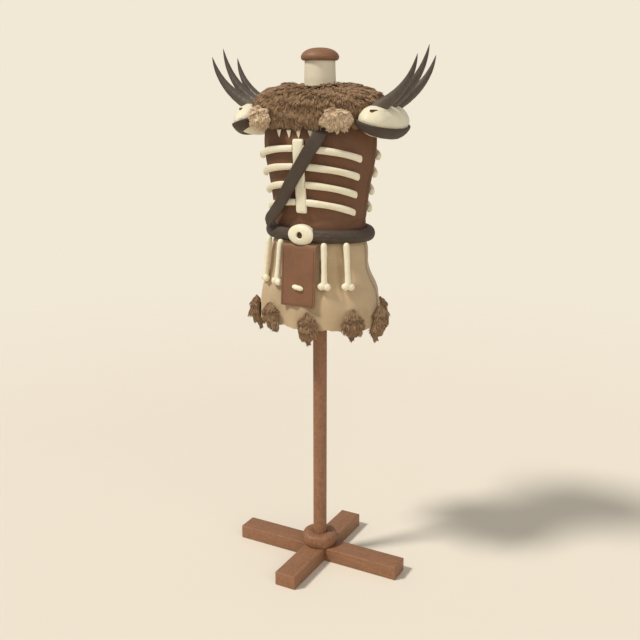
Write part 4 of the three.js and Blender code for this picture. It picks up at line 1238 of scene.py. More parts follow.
class ARMOUR_OT_stand(bpy.types.Operator):
    """Half-lapped cross base, turned hub, pole and neck cap"""

    bl_idname = "armour.stand"
    bl_label = "Stand"

    def beam(self, name, length, along_x, finish, node):
        half = BEAM_WIDTH / 2 + SEAM
        lap = BEAM_HEIGHT / 2
        end = length / 2
        top = BEAM_HEIGHT
        reach = BEAM_WIDTH / 2
        if along_x:
            outline = [(-end, 0), (end, 0), (end, top), (half, top), (half, lap), (-half, lap), (-half, top),
                       (-end, top)]
            rings = [[(u, v, z) for u, z in outline] for v in (-reach, reach)]
        else:
            lap += SEAM
            outline = [(-end, 0), (-half, 0), (-half, lap), (half, lap), (half, 0), (end, 0), (end, top),
                       (-end, top)]
            rings = [[(v, u, z) for u, z in outline] for v in (-reach, reach)]
        piece = new_piece(name, *loft(rings), finish, sharp=30)
        edge = piece.modifiers.new("Eased edge", "BEVEL")
        edge.width = 0.003
        edge.segments = 3
        settle(piece)
        shade(piece, 30)
        seat(piece, BODY, "stand_wood", node)

    def turned(self, name, profile, finish, node, sides=72):
        angle = round_steps(sides)
        rings = [np.stack([r * np.cos(angle), r * np.sin(angle), np.full(sides, z)], -1) for r, z in profile]
        piece = new_piece(name, *loft(rings), finish, sharp=50)
        seat(piece, BODY, "stand_wood", node)

    def execute(self, context):
        self.beam("base_beam_side", BEAM_X_LENGTH, True, "wood_x", "beam_x")
        self.beam("base_beam_front", BEAM_Y_LENGTH, False, "wood_y", "beam_y")
        low = BEAM_HEIGHT + SEAM
        high = low + HUB_HEIGHT
        hub = [
            (HUB_RADIUS - HUB_EASE, low),
            (HUB_RADIUS, low + HUB_EASE),
            (HUB_RADIUS, high - 2 * HUB_EASE),
            (HUB_RADIUS - HUB_EASE * 0.6, high - HUB_EASE * 0.8),
            (HUB_RADIUS - 2 * HUB_EASE, high),
            (POLE_RADIUS + 0.002, high),
            (POLE_RADIUS + SEAM, high - 0.002),
            (POLE_RADIUS + SEAM, low + HUB_FLOOR),
        ]
        self.turned("pole_socket", hub, "wood_z", "hub")
        pole = [(POLE_RADIUS, low + HUB_FLOOR + SEAM), (POLE_RADIUS, FORM_BOTTOM - SEAM)]
        self.turned("stand_pole", pole, "wood_z", "pole")
        base = NECK_TOP + SEAM
        shoulder = base + CAP_EDGE[-1][1]
        steps = 14
        dome = [(radius, base + rise) for radius, rise in CAP_EDGE]
        for i in range(1, steps + 1):
            turn = i / (steps + 0.6) * math.pi / 2
            rise = (CAP_TOP - shoulder) * math.sin(turn) ** 1.15
            dome.append((CAP_RADIUS * math.cos(turn) ** 0.8, shoulder + rise))
        self.turned("neck_cap", dome, "cap_wood", "cap")
        return {"FINISHED"}


class ARMOUR_OT_form(bpy.types.Operator):
    """Limbless dress form with a canvas cover"""

    bl_idname = "armour.form"
    bl_label = "Dress form"

    def execute(self, context):
        sides = 96
        angle = np.arange(sides) * 360 / sides
        rings = [oval(angle, a, b, z) for z, a, b in FORM_HIPS]
        rings += [torso(angle, z, -FORM_INSET - CREASE_ROOM) for z in np.linspace(VEST_HEM, NECK_LOW, 40)]
        for z, radius in NECK:
            rings.append(oval(angle, radius, radius, z))
        piece = new_piece("dress_form", *loft(rings), "canvas", sharp=60)
        seat(piece, BODY, "form_fabric", "form")
        return {"FINISHED"}


class ARMOUR_OT_vest(bpy.types.Operator):
    """Leather vest: front and back with creases at the waist and sewn sides"""

    bl_idname = "armour.vest"
    bl_label = "Vest"

    def cut_armholes(self, piece):
        sides = 64
        turn = round_steps(sides)
        y = ARMHOLE["half_depth"] * np.cos(turn)
        z = ARMHOLE["z"] + ARMHOLE["half_height"] * np.sin(turn)
        rings = [np.stack([np.full(sides, x), y, z], -1) for x in (-0.3, 0.3)]
        cutter = new_piece("armhole_cutter", *loft(rings), "vest_leather")
        cut_by(piece, cutter)

    def execute(self, context):
        columns = 101
        heights = np.concatenate([np.linspace(VEST_HEM, 1.50, 66), np.linspace(1.505, VEST_TOP, 10)])
        for half, middle in (("front", 0), ("back", 180)):
            angle = middle + np.linspace(-HALF_PANEL, HALF_PANEL, columns)
            across, up = np.meshgrid(angle, heights)
            flat = torso(across, up, 0.0)
            sunk = np.minimum(creases(across, up, VEST_CREASES), 0) * 0.7
            slack = 0.0005 * soft_noise(flat, 0.07, 31) - 0.0005
            points = torso(across, up, sunk + slack)
            piece = panel(f"vest_{half}_panel", points, sizes().leather, "vest_leather")
            self.cut_armholes(piece)
            seat(piece, BODY, "vest_leather", f"vest_{half}")
        for side in (-1, 1):
            for offset in (-2.2, 2.2):
                z = np.linspace(VEST_HEM + 0.024, 1.44, 60)
                angle = side * 90 + offset
                path = torso(angle, z, 0.0002)
                word = "front" if offset * side < 0 else "back"
                hand = "right" if side < 0 else "left"
                thread_stitches(f"vest_seam_{hand}_{word}", path, normals_at(angle, len(z)), BODY)
        return {"FINISHED"}


class ARMOUR_OT_rib_cage(bpy.types.Operator):
    """Sternum, the four pairs of ribs and the four back ribs"""

    bl_idname = "armour.rib_cage"
    bl_label = "Rib cage"

    def height(self, row, away):
        return RIB_TOP_ROW - row * RIB_SPACING - RIB_DROOP * (away / RIB_DROOP_ANGLE) ** 2

    def rib(self, name, row, start, end, middle, steps, round_start, seed, node):
        """A bar with a flat back, round ends and a slightly uneven face."""
        sides = 20
        turn = round_steps(sides)
        face = squared(np.cos(turn), 0.8)
        tall = squared(np.sin(turn), 0.86)
        cap = RIB_CAP_ANGLE / abs(end - start)
        ease = cap * (1 - np.cos(np.linspace(0, math.pi / 2, 7)))
        rings = []
        for share in np.unique(np.concatenate([np.linspace(0, 1, steps), ease, 1 - ease])):
            angle = start + (end - start) * share
            far = min(1.0, (1 - share) / cap)
            near = min(1.0, share / cap) if round_start else 1.0
            ends = math.sqrt(max(1 - (1 - far) ** 2, 0.02)) * math.sqrt(max(1 - (1 - near) ** 2, 0.02))
            if not round_start:
                ends *= 1 - 0.06 * max(0, 1 - share / 0.05)
            tall_here = sizes().rib_height * ends * (1 - 0.05 * math.sin(share * 9 + seed))
            thick = sizes().rib_thickness * (0.35 + 0.65 * ends)
            z = self.height(row, abs(angle - middle)) + tall_here * tall
            rings.append(torso(angle, z, ON_VEST + thick * (0.5 + 0.5 * face)))
        vertices, faces = loft(rings)
        uneven = soft_noise(vertices, 0.03, seed) * 0.0003
        outward = unit(vertices * (1, 1, 0))
        vertices = vertices + outward * np.maximum(uneven, -0.0002)[:, None]
        piece = new_piece(name, vertices, faces, "bone", sharp=70)
        seat(piece, BODY, "bone", node)

    def execute(self, context):
        for row in range(RIB_ROWS):
            wide = torso_half_width(self.height(row, 0)) + ON_VEST
            start = math.degrees(math.asin((STERNUM_HALF_WIDTH + 0.0007) / wide))
            for side, hand in ((-1, "right"), (1, "left")):
                self.rib(f"carved_rib_{hand}_{row + 1}", row, side * start, side * RIB_END, 0, 34, False,
                         row * 7 + side + 1, f"rib_{hand}_{row + 1}")
            self.rib(f"carved_rib_back_{row + 1}", row, BACK_RIB_END, 360 - BACK_RIB_END, 180, 60, True,
                     row * 7 + 50, f"rib_back_{row + 1}")

        sides = 28
        turn = round_steps(sides)
        across = squared(np.cos(turn), 0.62) * STERNUM_HALF_WIDTH
        out = (0.5 + 0.5 * squared(np.sin(turn), 0.55)) * STERNUM_THICKNESS
        rings = []
        shares = [np.linspace(0, 1, 40), np.linspace(0, 0.03, 6), np.linspace(0.97, 1, 6)]
        for share in np.unique(np.concatenate(shares)):
            z = STERNUM_BOTTOM + (STERNUM_TOP - STERNUM_BOTTOM) * share
            near = min(z - STERNUM_BOTTOM, STERNUM_TOP - z, STERNUM_END) / STERNUM_END
            size = 0.80 + 0.20 * math.sqrt(max(1 - (1 - near) ** 2, 0))
            flare = 1 - 0.04 * math.sin(share * math.pi)
            b = torso_half_width(z) * DEPTH_RATIO
            x = across * size * flare
            y = -(b + ON_VEST + out * (0.86 + 0.14 * near))
            rings.append(np.stack([x, y, np.full(sides, z)], -1))
        vertices, faces = loft(rings)
        vertices[:, 1] += soft_noise(vertices, 0.035, 5) * 0.0003
        seat(new_piece("carved_sternum", vertices, faces, "bone", sharp=70), BODY, "bone", "sternum")
        return {"FINISHED"}


class ARMOUR_OT_teeth(bpy.types.Operator):
    """Row of fangs under the mantle's front edge"""

    bl_idname = "armour.teeth"
    bl_label = "Teeth"

    def execute(self, context):
        sides = 16
        turn = round_steps(sides)
        for i, x in enumerate(TOOTH_PLACES):
            wide = torso_half_width(TOOTH_TIP) + 0.0004
            angle = math.degrees(math.asin(x / wide))
            normal = oval_normal(np.array([angle]))[0]
            across = np.array([-normal[1], normal[0], 0])
            rings = []
            for share in np.linspace(0, 1, 18):
                z = TOOTH_TOP + (TOOTH_TIP - TOOTH_TOP) * share
                root = math.sqrt(min(share / 0.12, 1.0) * (2 - min(share / 0.12, 1.0)))
                size = max(root * max(1 - max(share - 0.18, 0) / 0.82, 0) ** 0.75, 0.06)
                thick = 0.5 + 0.5 * size
                bend = 0.0016 * math.sin(share * 2.4) * (1 if i % 2 else -1)
                centre = torso(angle, z, 0.0006) + across * bend
                out = (1 + np.sin(turn)) * 0.5 * TOOTH_THICKNESS * size * thick + 0.0014 * share
                side = np.cos(turn) * 0.5 * TOOTH_WIDTH * size
                rings.append(centre + np.outer(side, across) + np.outer(out, normal))
            piece = new_piece(f"fang_{i + 1}", *loft(rings), "bone", sharp=60)
            seat(piece, BODY, "bone", f"tooth_{i + 1}")
        return {"FINISHED"}


class ARMOUR_OT_belt(bpy.types.Operator):
    """Rolled leather belt round the waist, with the bone boss"""

    bl_idname = "armour.belt"
    bl_label = "Belt and boss"

    def execute(self, context):
        stations, sides = 180, 36
        rings, share = belt_rings(stations, sides, 0.0)
        belt = new_piece("rolled_belt", *loft(rings, wrap=True), "dark_leather", sharp=60)
        points = vertices_of(belt.data)
        folds = soft_noise(points * (1, 1, 2.4), 0.022, 77) + 0.5 * soft_noise(points, 0.009, 78)
        outer = np.tile(share, stations)
        sunk = np.minimum(folds, 0) * 0.0014 * outer
        move_vertices(belt, points + normals_of(belt.data) * sunk[:, None])
        seat(belt, BODY, "dark_leather", "belt")

        around = 96
        turn = round_steps(around)
        hole_x = BOSS_HOLE_RADIUS / BOSS["half_width"]
        hole_z = BOSS_HOLE_RADIUS / BOSS["half_height"]
        rings = []
        shares = np.concatenate([np.linspace(0, 0.12, 5), np.linspace(0.18, 0.97, 22), [0.99, 1.0]])
        for share in shares:
            x = BOSS["half_width"] * np.cos(turn) * (hole_x + (1 - hole_x) * share)
            z = BOSS["half_height"] * np.sin(turn) * (hole_z + (1 - hole_z) * share)
            out = np.clip(1 - (x / BOSS["half_width"]) ** 2 - (z / BOSS["half_height"]) ** 2, 0, 1)
            ease = 0.0022 * max(0, 1 - share / 0.1) ** 2
            y = BOSS["y"] - BOSS["half_depth"] * out**0.5 + ease
            rings.append(np.stack([x, y, BOSS["z"] + z], -1))
        for depth in (BOSS["y"] + 0.002, BOSS_BACK):
            rings.append(rings[-1] * (1, 0, 1) + (0, depth, 0))
        rings.append(rings[0] * (1, 0, 1) + (0, BOSS_BACK, 0))
        vertices, faces = loft(rings, wrap=True)
        vertices[:, 1] += soft_noise(vertices, 0.03, 15) * 0.0004
        boss = new_piece("belt_boss", vertices, faces, "bone", sharp=60)
        cut_by_belt(boss)
        seat(boss, BODY, "bone", "boss")
        return {"FINISHED"}


class ARMOUR_OT_straps(bpy.types.Operator):
    """Strap over the left shoulder, front and back, ending on the belt"""

    bl_idname = "armour.straps"
    bl_label = "Straps"

    def band(self, name, mirror, node):
        rows = STRAP_PATH
        fine = np.linspace(0, 1, 72)
        run = np.linspace(0, 1, len(rows))
        angle, z, lift = (smooth_lookup(fine, run, rows[:, i]) for i in range(3))
        if mirror:
            angle = 180 - angle
        centre = torso(angle, z, lift)
        along = unit(np.gradient(centre, axis=0))
        flat = oval_normal(angle)
        across = unit(np.cross(along, flat))
        out = unit(np.cross(across, along))
        half = sizes().strap_width / 2
        thick = sizes().strap_thickness
        sides = 28
        turn = round_steps(sides)
        wide = squared(np.cos(turn), 0.22) * half
        deep = (0.5 + 0.5 * squared(np.sin(turn), 0.4)) * thick
        crown = 0.0012 * (1 - (wide / half) ** 2) * (deep > thick * 0.5)
        rings = (
            centre[:, None]
            + across[:, None] * wide[None, :, None]
            + out[:, None] * (deep + crown)[None, :, None]
        )
        vertices, faces = loft(rings)
        vertices += soft_noise(vertices, 0.05, 9)[:, None] * np.repeat(out, sides, 0) * 0.0004
        piece = new_piece(name, vertices, faces, "dark_leather", sharp=50)
        cut_by_belt(piece)
        seat(piece, BODY, "dark_leather", node)
        last = 66
        for side, word in ((-1, "low"), (1, "high")):
            path = (centre + across * side * (half - 0.005) + out * (thick + 0.0001))[:last]
            thread_stitches(f"{name}_thread_{word}", path, out[:last], BODY)

    def execute(self, context):
        self.band("strap_front_band", False, "strap_front")
        self.band("strap_back_band", True, "strap_back")
        return {"FINISHED"}


class ARMOUR_OT_flap(bpy.types.Operator):
    """Leather flap under the boss, with its bone toggle"""

    bl_idname = "armour.flap"
    bl_label = "Flap and toggle"

    def wave(self, x, z):
        """How far the soft waves move the flap, growing towards its lower edge."""
        low = np.clip((1.05 - z) / 0.13, 0, 1)
        return (0.0014 * np.sin(x * 62 + 0.7) * low + 0.0009 * np.sin(x * 120 + z * 20)) * low

    def execute(self, context):
        steps = np.linalg.norm(np.diff(FLAP_PATH, axis=0), axis=1)
        run = np.concatenate([[0], np.cumsum(steps)])
        columns = 41
        rows = 90
        half_width = BOSS["half_width"] + 0.0012
        half_height = BOSS["half_height"] + 0.0012
        thickness = sizes().flap
        grid = []
        for x in np.linspace(-FLAP_WIDTH / 2, FLAP_WIDTH / 2, columns):
            inside = max(1 - (x / half_width) ** 2, 0)
            top = BOSS["z"] - half_height * math.sqrt(inside)
            ramp = min(max((0.053 - abs(x)) / 0.014, 0), 1)
            start = run[1] * ramp * ramp * (3 - 2 * ramp)
            if top < FLAP_PATH[0, 1]:
                start = max(start, np.interp(-top, -FLAP_PATH[1:, 1], run[1:]))
            at = np.linspace(run[-1], start, rows)
            y = np.interp(at, run, FLAP_PATH[:, 0])
            z = np.interp(at, run, FLAP_PATH[:, 1])
            low = np.clip((1.05 - z) / 0.13, 0, 1)
            edge = 0.0006 * math.sin(x * 90) + 0.0004 * math.sin(x * 210 + 1)
            y = y - thickness / 2 + self.wave(x, z)
            grid.append(np.stack([np.full(rows, x), y, z + edge * low**6], -1))
        points = np.stack(grid, 1)
        piece = panel("leather_flap", points, thickness, "flap_leather")
        seat(piece, BODY, "flap_leather", "flap")
        points_in_seam = 60
        normals = np.repeat(unit(np.array([[0.0, -1.0, 0.065]])), points_in_seam, 0)
        lift = -thickness / 2 - 0.0004
        seam = FLAP_WIDTH / 2 - FLAP_STITCH_INSET
        down = np.linspace(FLAP_STITCH_TOP, FLAP_STITCH_LOW, points_in_seam)
        for side, word in ((-1, "right"), (1, "left")):
            x = side * seam
            y = np.interp(-down, -FLAP_PATH[1:, 1], FLAP_PATH[1:, 0]) + lift + self.wave(x, down)
            path = np.stack([np.full(points_in_seam, x), y, down], -1)
            thread_stitches(f"flap_thread_{word}", path, normals, BODY)
        x = np.linspace(-seam, seam, points_in_seam)
        low = np.full(points_in_seam, FLAP_STITCH_LOW)
        y = np.interp(-low, -FLAP_PATH[1:, 1], FLAP_PATH[1:, 0]) + lift
        y += 0.0014 * np.sin(x * 62 + 0.7) * 0.95 + 0.0009 * np.sin(x * 120 + low * 20) * 0.9
        thread_stitches("flap_thread_hem", np.stack([x, y, low], -1), normals, BODY)

        across, down_steps = 48, 24
        rings = []
        tilt = radians(TOGGLE["tilt"])
        for v in np.linspace(-0.98, 0.98, down_steps):
            ring = []
            size = math.sqrt(1 - v * v)
            for s in range(across):
                turn = s * 2 * math.pi / across
                x = TOGGLE["half_width"] * v
                z = TOGGLE["half_height"] * size * math.cos(turn) * (1 - 0.14 * math.exp(-((v / 0.25) ** 2)))
                y = -TOGGLE["depth"] * size * max(math.sin(turn), 0) - 0.0003
                ring.append((
                    x * math.cos(tilt) + z * math.sin(tilt),
                    TOGGLE["y"] + y - thickness / 2 + 0.0004,
                    TOGGLE["z"] - x * math.sin(tilt) + z * math.cos(tilt),
                ))
            rings.append(ring)
        piece = new_piece("bone_toggle", *loft(rings), "bone", sharp=60)
        seat(piece, BODY, "bone", "toggle")
        return {"FINISHED"}


class ARMOUR_OT_skirt(bpy.types.Operator):
    """Hide skirt: front and back with soft folds and a raw hem"""

    bl_idname = "armour.skirt"
    bl_label = "Skirt"

    def execute(self, context):
        columns = 141
        rows = 84
        for half, middle in (("front", 0), ("back", 180)):
            angle = middle + np.linspace(-HALF_PANEL, HALF_PANEL, columns)
            share = np.linspace(0, 1, rows)
            across, up = np.meshgrid(angle, share)
            raw = 0.0016 * np.sin(radians(across) * 17) + 0.0011 * np.sin(radians(across) * 41 + 1)
            z = SKIRT_HEM + raw + (SKIRT_TOP - SKIRT_HEM - raw) * up
            fade = np.clip((1.112 - z) / 0.02, 0, 1)
            flat = skirt(across, z, 0.0)
            dents = skirt_dents(across, z) + 0.0009 * soft_noise(flat, 0.08, 12)
            dents = np.where(z > 0.985, dents, np.minimum(dents, 0.0004))
            points = skirt(across, z, dents * fade)
            piece = panel(f"skirt_{half}_panel", points, sizes().hide, "tanned_hide")
            seat(piece, BODY, "tanned_hide", f"skirt_{half}")
        for side, hand in ((-1, "right"), (1, "left")):
            for offset, word in ((-2.0, "a"), (2.0, "b")):
                z = np.linspace(1.108, SKIRT_HEM + 0.006, 70)
                angle = side * 90 + offset
                path = skirt(angle, z, skirt_dents(angle, z) + 0.0003)
                thread_stitches(f"skirt_seam_{hand}_{word}", path, normals_at(angle, len(z)), BODY)
        return {"FINISHED"}


class ARMOUR_OT_hanging_bones(bpy.types.Operator):
    """Four long bones that swing under the belt"""

    bl_idname = "armour.hanging_bones"
    bl_label = "Hanging bones"

    def execute(self, context):
        head = sizes().bone_radius
        for number, (node, body, top_angle, low_angle, hinge_z) in enumerate(HANGING_BONES):
            a = WAIST_A + BELT_CLEARANCE + BELT_REACH_SIDE
            b = WAIST_A * DEPTH_RATIO + BELT_CLEARANCE + BELT_REACH_FRONT
            top = oval(top_angle, a, b, hinge_z)
            low = skirt(low_angle, BONE_KNUCKLE_Z, BONE_KNUCKLE_LIFT)
            length = float(np.linalg.norm(top - low))
            up = unit(top - low)
            side = np.array([math.cos(radians(low_angle)), math.sin(radians(low_angle)) * DEPTH_RATIO, 0])
            out = unit(np.cross(up, side))
            across = unit(np.cross(out, up))
            sides = 24
            turn = round_steps(sides)
            profile = [(head * share, radius) for share, radius in BONE_HEAD]
            profile += [(0.0, head * 0.98), (-0.010, 0.0097)]
            profile += [(-length * share, radius) for share, radius in BONE_SHAFT]
            profile.append((-length - 0.004, 0.006))
            rings = []
            for height, radius in profile:
                squash = 1 + 0.02 * math.sin(height * 60 + number)
                wide = np.outer(np.cos(turn) * radius * squash, across)
                deep = np.outer(np.sin(turn) * radius, out)
                rings.append(top + up * height + (wide + deep))
            vertices, faces = loft(rings)
            vertices = vertices.tolist()
            for x, drop, half_width, half_depth, tall in BONE_KNUCKLES:
                ball = []
                for v in np.linspace(-0.97, 0.97, 14):
                    size = math.sqrt(1 - v * v)
                    ball.append(
                        top + across * x + up * (-length - drop + tall * v)
                        + np.outer(np.cos(turn) * half_width * size, across)
                        + np.outer(np.sin(turn) * half_depth * size, out)
                    )
                more, skin = loft(ball)
                offset = len(vertices)
                vertices.extend(more.tolist())
                faces.extend(tuple(v + offset for v in face) for face in skin)
            piece = new_piece(f"hung_{node}", vertices, faces, "bone")
            softened(piece, 0.0015, 4)
            points = vertices_of(piece.data)
            bumps = 0.00018 * soft_noise(points, 0.014, 40 + number) - 0.0001
            move_vertices(piece, points + normals_of(piece.data) * bumps[:, None])
            seat(piece, body, "bone", node)
        return {"FINISHED"}


class ARMOUR_OT_mantle(bpy.types.Operator):
    """Fur mantle over the shoulders"""

    bl_idname = "armour.mantle"
    bl_label = "Mantle"

    def execute(self, context):
        base = clump_base("mantle_pelt", "mantle", 0.0065, 0.006, 5, "brown_fur")
        seat(base, BODY, "brown_fur", "mantle")

        def flow(points):
            outward = unit(points * (1, 1, 0))
            return outward * 0.8 + np.array([0.0, 0.0, -1.0])

        def outside(centres, normals):
            outward = unit(centres * (1, 1, 0))
            facing = np.sum(normals * outward, 1)
            return ((facing > -0.15) | (normals[:, 2] > 0.3)) & (centres[:, 2] > MANTLE_LOW + 0.012)

        def half(front):
            return lambda centres, normals: outside(centres, normals) & ((centres[:, 1] < 0) == front)

        for name, front, seed in (("mantle_fur_front", True, 3), ("mantle_fur_back", False, 4)):
            piece = fur(
                name, base, sizes().mantle_locks, sizes().mantle_fur, 0.0044, 0.22, flow, half(front), seed,
                "brown_fur",
            )
            seat(piece, BODY, "brown_fur")
        return {"FINISHED"}


class ARMOUR_OT_tufts(bpy.types.Operator):
    """Fur tufts round the hem and the two tan tufts on the mantle"""

    bl_idname = "armour.tufts"
    bl_label = "Fur tufts"

    def execute(self, context):
        for number in range(1, HEM_TUFTS + 1):
            node = f"hem_tuft_{number}"
            low, high = (np.array(corner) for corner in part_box(node))
            tip = np.array([(low[0] + high[0]) / 2, (low[1] + high[1]) / 2, low[2]])
            base = clump_base(f"{node}_core", node, 0.0035, 0.004, 4, "brown_fur")
            seat(base, BODY, "brown_fur", node)
            inward = unit(tip * (1, 1, 0))

            def flow(points, tip=tip):
                return unit(tip - (0, 0, 0.03) - points) + np.array([0.0, 0.0, -0.5])

            def outside(centres, normals, inward=inward):
                facing = normals @ inward
                return (facing > -0.35) | (centres[:, 2] < SKIRT_HEM)

            piece = fur(
                f"{node}_fur", base, sizes().tuft_locks, sizes().tuft_fur, 0.0036, 0.22, flow, outside,
                100 + number, "brown_fur",
            )
            seat(piece, BODY, "brown_fur")
        for hand, seed in (("right", 61), ("left", 62)):
            node = f"tan_tuft_{hand}"
            low, high = (np.array(corner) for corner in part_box(node))
            middle = (low + high) / 2
            base = clump_base(f"{node}_core", node, 0.0032, 0.004, 4, "tan_fur")
            seat(base, BODY, "tan_fur", node)

            def spread(points, middle=middle):
                return unit(points - middle) + np.array([0.0, -0.1, -0.9])

            def showing(centres, normals):
                return normals[:, 1] < 0.35

            piece = fur(
                f"{node}_fur", base, sizes().tan_locks, sizes().tan_fur, 0.0034, 0.3, spread, showing, seed,
                "tan_fur",
            )
            seat(piece, BODY, "tan_fur")
        return {"FINISHED"}


class ARMOUR_OT_skulls(bpy.types.Operator):
    """Shoulder skulls with their leather rims"""

    bl_idname = "armour.skulls"
    bl_label = "Skulls"

    def in_row_frame(self, local, side):
        """Takes points of the untipped skull to their place on one shoulder."""
        tip = radians(side * SKULL["tip"])
        x = local[..., 0] * math.cos(tip) + local[..., 2] * math.sin(tip)
        z = -local[..., 0] * math.sin(tip) + local[..., 2] * math.cos(tip)
        return np.stack([x + side * SKULL["x"], local[..., 1], z + SKULL["z"]], -1)

    def cut_socket(self, piece, side):
        """Cuts the eye socket's rounded triangle into the bone, with painted shade on its walls and floor: a
        dark material in place of the recess's shade.
        """
        corners = np.array(SOCKET)
        middle = corners.mean(0)
        outline = []
        for i in range(3):
            before, here, after = corners[i - 1], corners[i], corners[(i + 1) % 3]
            start = here + (before - here) * SOCKET_ROUND
            end = here + (after - here) * SOCKET_ROUND
            for share in np.linspace(0, 1, 7):
                outline.append((1 - share) ** 2 * start + 2 * share * (1 - share) * here + share**2 * end)
        outline = np.array(outline)
        rings = []
        for out, size in SOCKET_WALLS:
            spot = middle + (outline - middle) * size
            rings.append(np.column_stack([np.full(len(spot), side * (SOCKET_FLOOR_X + out)), spot]))
        cutter = new_piece("socket_cutter", *loft(rings), "bone")
        # The cutter's faces carry the socket's painted shade to the walls and floor that the cut leaves
        cutter.data.materials.append(material("socket"))
        for polygon in cutter.data.polygons:
            polygon.material_index = 1
        cut_by(piece, cutter)

    def relief(self, local, points, side):
        """Height of the brow, temple, crest and suture over the smooth dome."""
        x, y, z = (local[..., i] for i in range(3))
        eye = self.in_row_frame(np.array([side * 0.03, -0.088, 0.04]), side)
        away = np.linalg.norm(points - eye, axis=-1)
        brow = 0.0016 * nearness(away - 0.020, 0.007) * (points[..., 2] > 1.505)
        temple = -0.0028 * np.exp(-(((y + 0.058) / 0.020) ** 2) - ((z - 0.012) / 0.016) ** 2)
        crest = 0.0014 * nearness(x * side + 0.006, 0.006) * (z > 0)
        suture = -0.0009 * nearness(y - 0.030 - 0.004 * np.sin(x * 190), 0.0028)
        return brow + temple + crest + suture + 0.0007 * soft_noise(points, 0.045, 21)

    def execute(self, context):
        half = np.array(SKULL["half"])
        for side, hand in ((-1, "right"), (1, "left")):
            around, down = 170, 92
            turn = round_steps(around)
            tall = np.linspace(-math.pi / 2 + 0.02, math.pi / 2 - 0.02, down)
            level, about = np.meshgrid(tall, turn, indexing="ij")
            flat = np.cos(level)
            sphere = np.stack([flat * np.cos(about), flat * np.sin(about), np.sin(level)], -1)
            local = sphere * half
            points = self.in_row_frame(local, side)
            normal = unit(self.in_row_frame(sphere / half, side) - (side * SKULL["x"], 0, SKULL["z"]))
            points = points + normal * self.relief(local, points, side)[..., None]
            points = self.clear_of_vest(points, side)
            piece = new_piece(f"shoulder_skull_{hand}", *loft(points), "bone", sharp=75)
            # Second slot: the socket's painted shade, for the walls and floor of the cut
            piece.data.materials.append(material("socket"))
            self.cut_socket(piece, side)
            seat(piece, BODY, "bone", f"skull_{hand}")
            self.rim(side, hand)
        return {"FINISHED"}

    def clear_of_vest(self, points, side):
        """Pushes points out to just beyond the vest's side."""
        a = torso_half_width(points[..., 2]) + 0.001
        b = a * torso_depth_share(points[..., 2])
        reach = a * np.sqrt(np.maximum(1 - (points[..., 1] / b) ** 2, 0))
        out = points[..., 0] * side
        short = np.maximum(reach - out, 0)
        points[..., 0] = side * (out + short * 0.98)
        return points

    def rim(self, side, hand):
        """A moulded strip of leather round the skull, widest on the outer side."""
        half = np.array(SKULL["half"])
        tip = radians(SKULL["tip"])
        slope = RIM_LOW["slope"]
        across = slope * math.cos(tip) - math.sin(tip)
        up = math.cos(tip) + slope * math.sin(tip)
        below = SKULL["z"] - RIM_LOW["z"] + slope * (SKULL["x"] - RIM_LOW["x"])
        stations = 130
        sides = 24
        turn = round_steps(sides)
        up_share = 0.5 + 0.5 * squared(np.cos(turn), 0.5)
        out_share = 0.5 + 0.5 * squared(np.sin(turn), 0.55)
        size = half + 0.0006 + out_share[:, None] * (RIM_THICKNESS - 0.0006)
        rings = []
        for about in np.linspace(0, 2 * math.pi, stations, endpoint=False):
            top = np.arcsin(-RIM_TOP_DROP / size[:, 2])
            floor = np.full(sides, -1.5)
            low = top.copy()
            for _ in range(30):
                middle = (floor + low) / 2
                height = size[:, 2] * np.sin(middle) * up
                over = height + below + across * size[:, 0] * np.cos(middle) * math.cos(about) > 0
                low = np.where(over, middle, low)
                floor = np.where(over, floor, middle)
            level = low + (top - low) * up_share
            local = np.stack([
                side * size[:, 0] * np.cos(level) * math.cos(about),
                size[:, 1] * np.cos(level) * math.sin(about),
                size[:, 2] * np.sin(level),
            ], -1)
            rings.append(self.in_row_frame(local, side))
        vertices, faces = loft(rings, wrap=True)
        vertices += soft_noise(vertices, 0.03, 88)[:, None] * (0, 0, 0.0004)
        vertices = self.clear_of_vest(vertices, side)
        piece = new_piece(f"skull_rim_leather_{hand}", vertices, faces, "dark_leather", sharp=60)
        seat(piece, BODY, "dark_leather", f"skull_rim_{hand}")


class ARMOUR_OT_horns(bpy.types.Operator):
    """Three horns on each skull"""

    bl_idname = "armour.horns"
    bl_label = "Horns"

    def execute(self, context):
        sides = 28
        stations = 72
        turn = round_steps(sides)
        for side, hand in ((-1, "right"), (1, "left")):
            for number, (word, root, bend, tip) in enumerate(HORNS):
                root, bend, tip = (np.array(p) * (side, 1, 1) for p in (root, bend, tip))
                share = np.concatenate([[-0.12], np.linspace(0, 1, stations) ** 0.9])[:, None]
                centre = (1 - share) ** 2 * root + 2 * share * (1 - share) * bend + share**2 * tip
                along = unit(2 * (1 - share) * (bend - root) + 2 * share * (tip - bend))
                centre[0] = root - along[1] * 0.02
                across = unit(np.cross(np.array([0.0, 1.0, 0.0]), along))
                other = np.cross(along, across)
                solid = np.clip(share[:, 0], 0, 1)
                radius = np.maximum(HORN_RADIUS * (1 - solid) ** HORN_TAPER, 0.0006)
                growth = np.sin(solid * 64 + 2.2 * np.sin(solid * 9 + number))
                growth = growth * np.clip(1 - solid * 1.5, 0, 1)
                radius = radius - 0.0006 * (0.5 + 0.5 * growth) * (solid < 0.7)
                flute = 1 - 0.028 * (0.5 + 0.5 * np.cos(turn * 5 + number))
                rings = (
                    centre[:, None]
                    + across[:, None] * (radius[:, None] * (np.cos(turn) * flute)[None])[..., None]
                    + other[:, None] * (radius[:, None] * (np.sin(turn) * flute)[None])[..., None]
                )
                piece = new_piece(f"curved_horn_{hand}_{word}", *loft(rings), "horn", sharp=80)
                give_attribute(piece, "along", np.repeat(solid, sides))
                seat(piece, BODY, "horn", f"horn_{hand}_{word}")
        return {"FINISHED"}


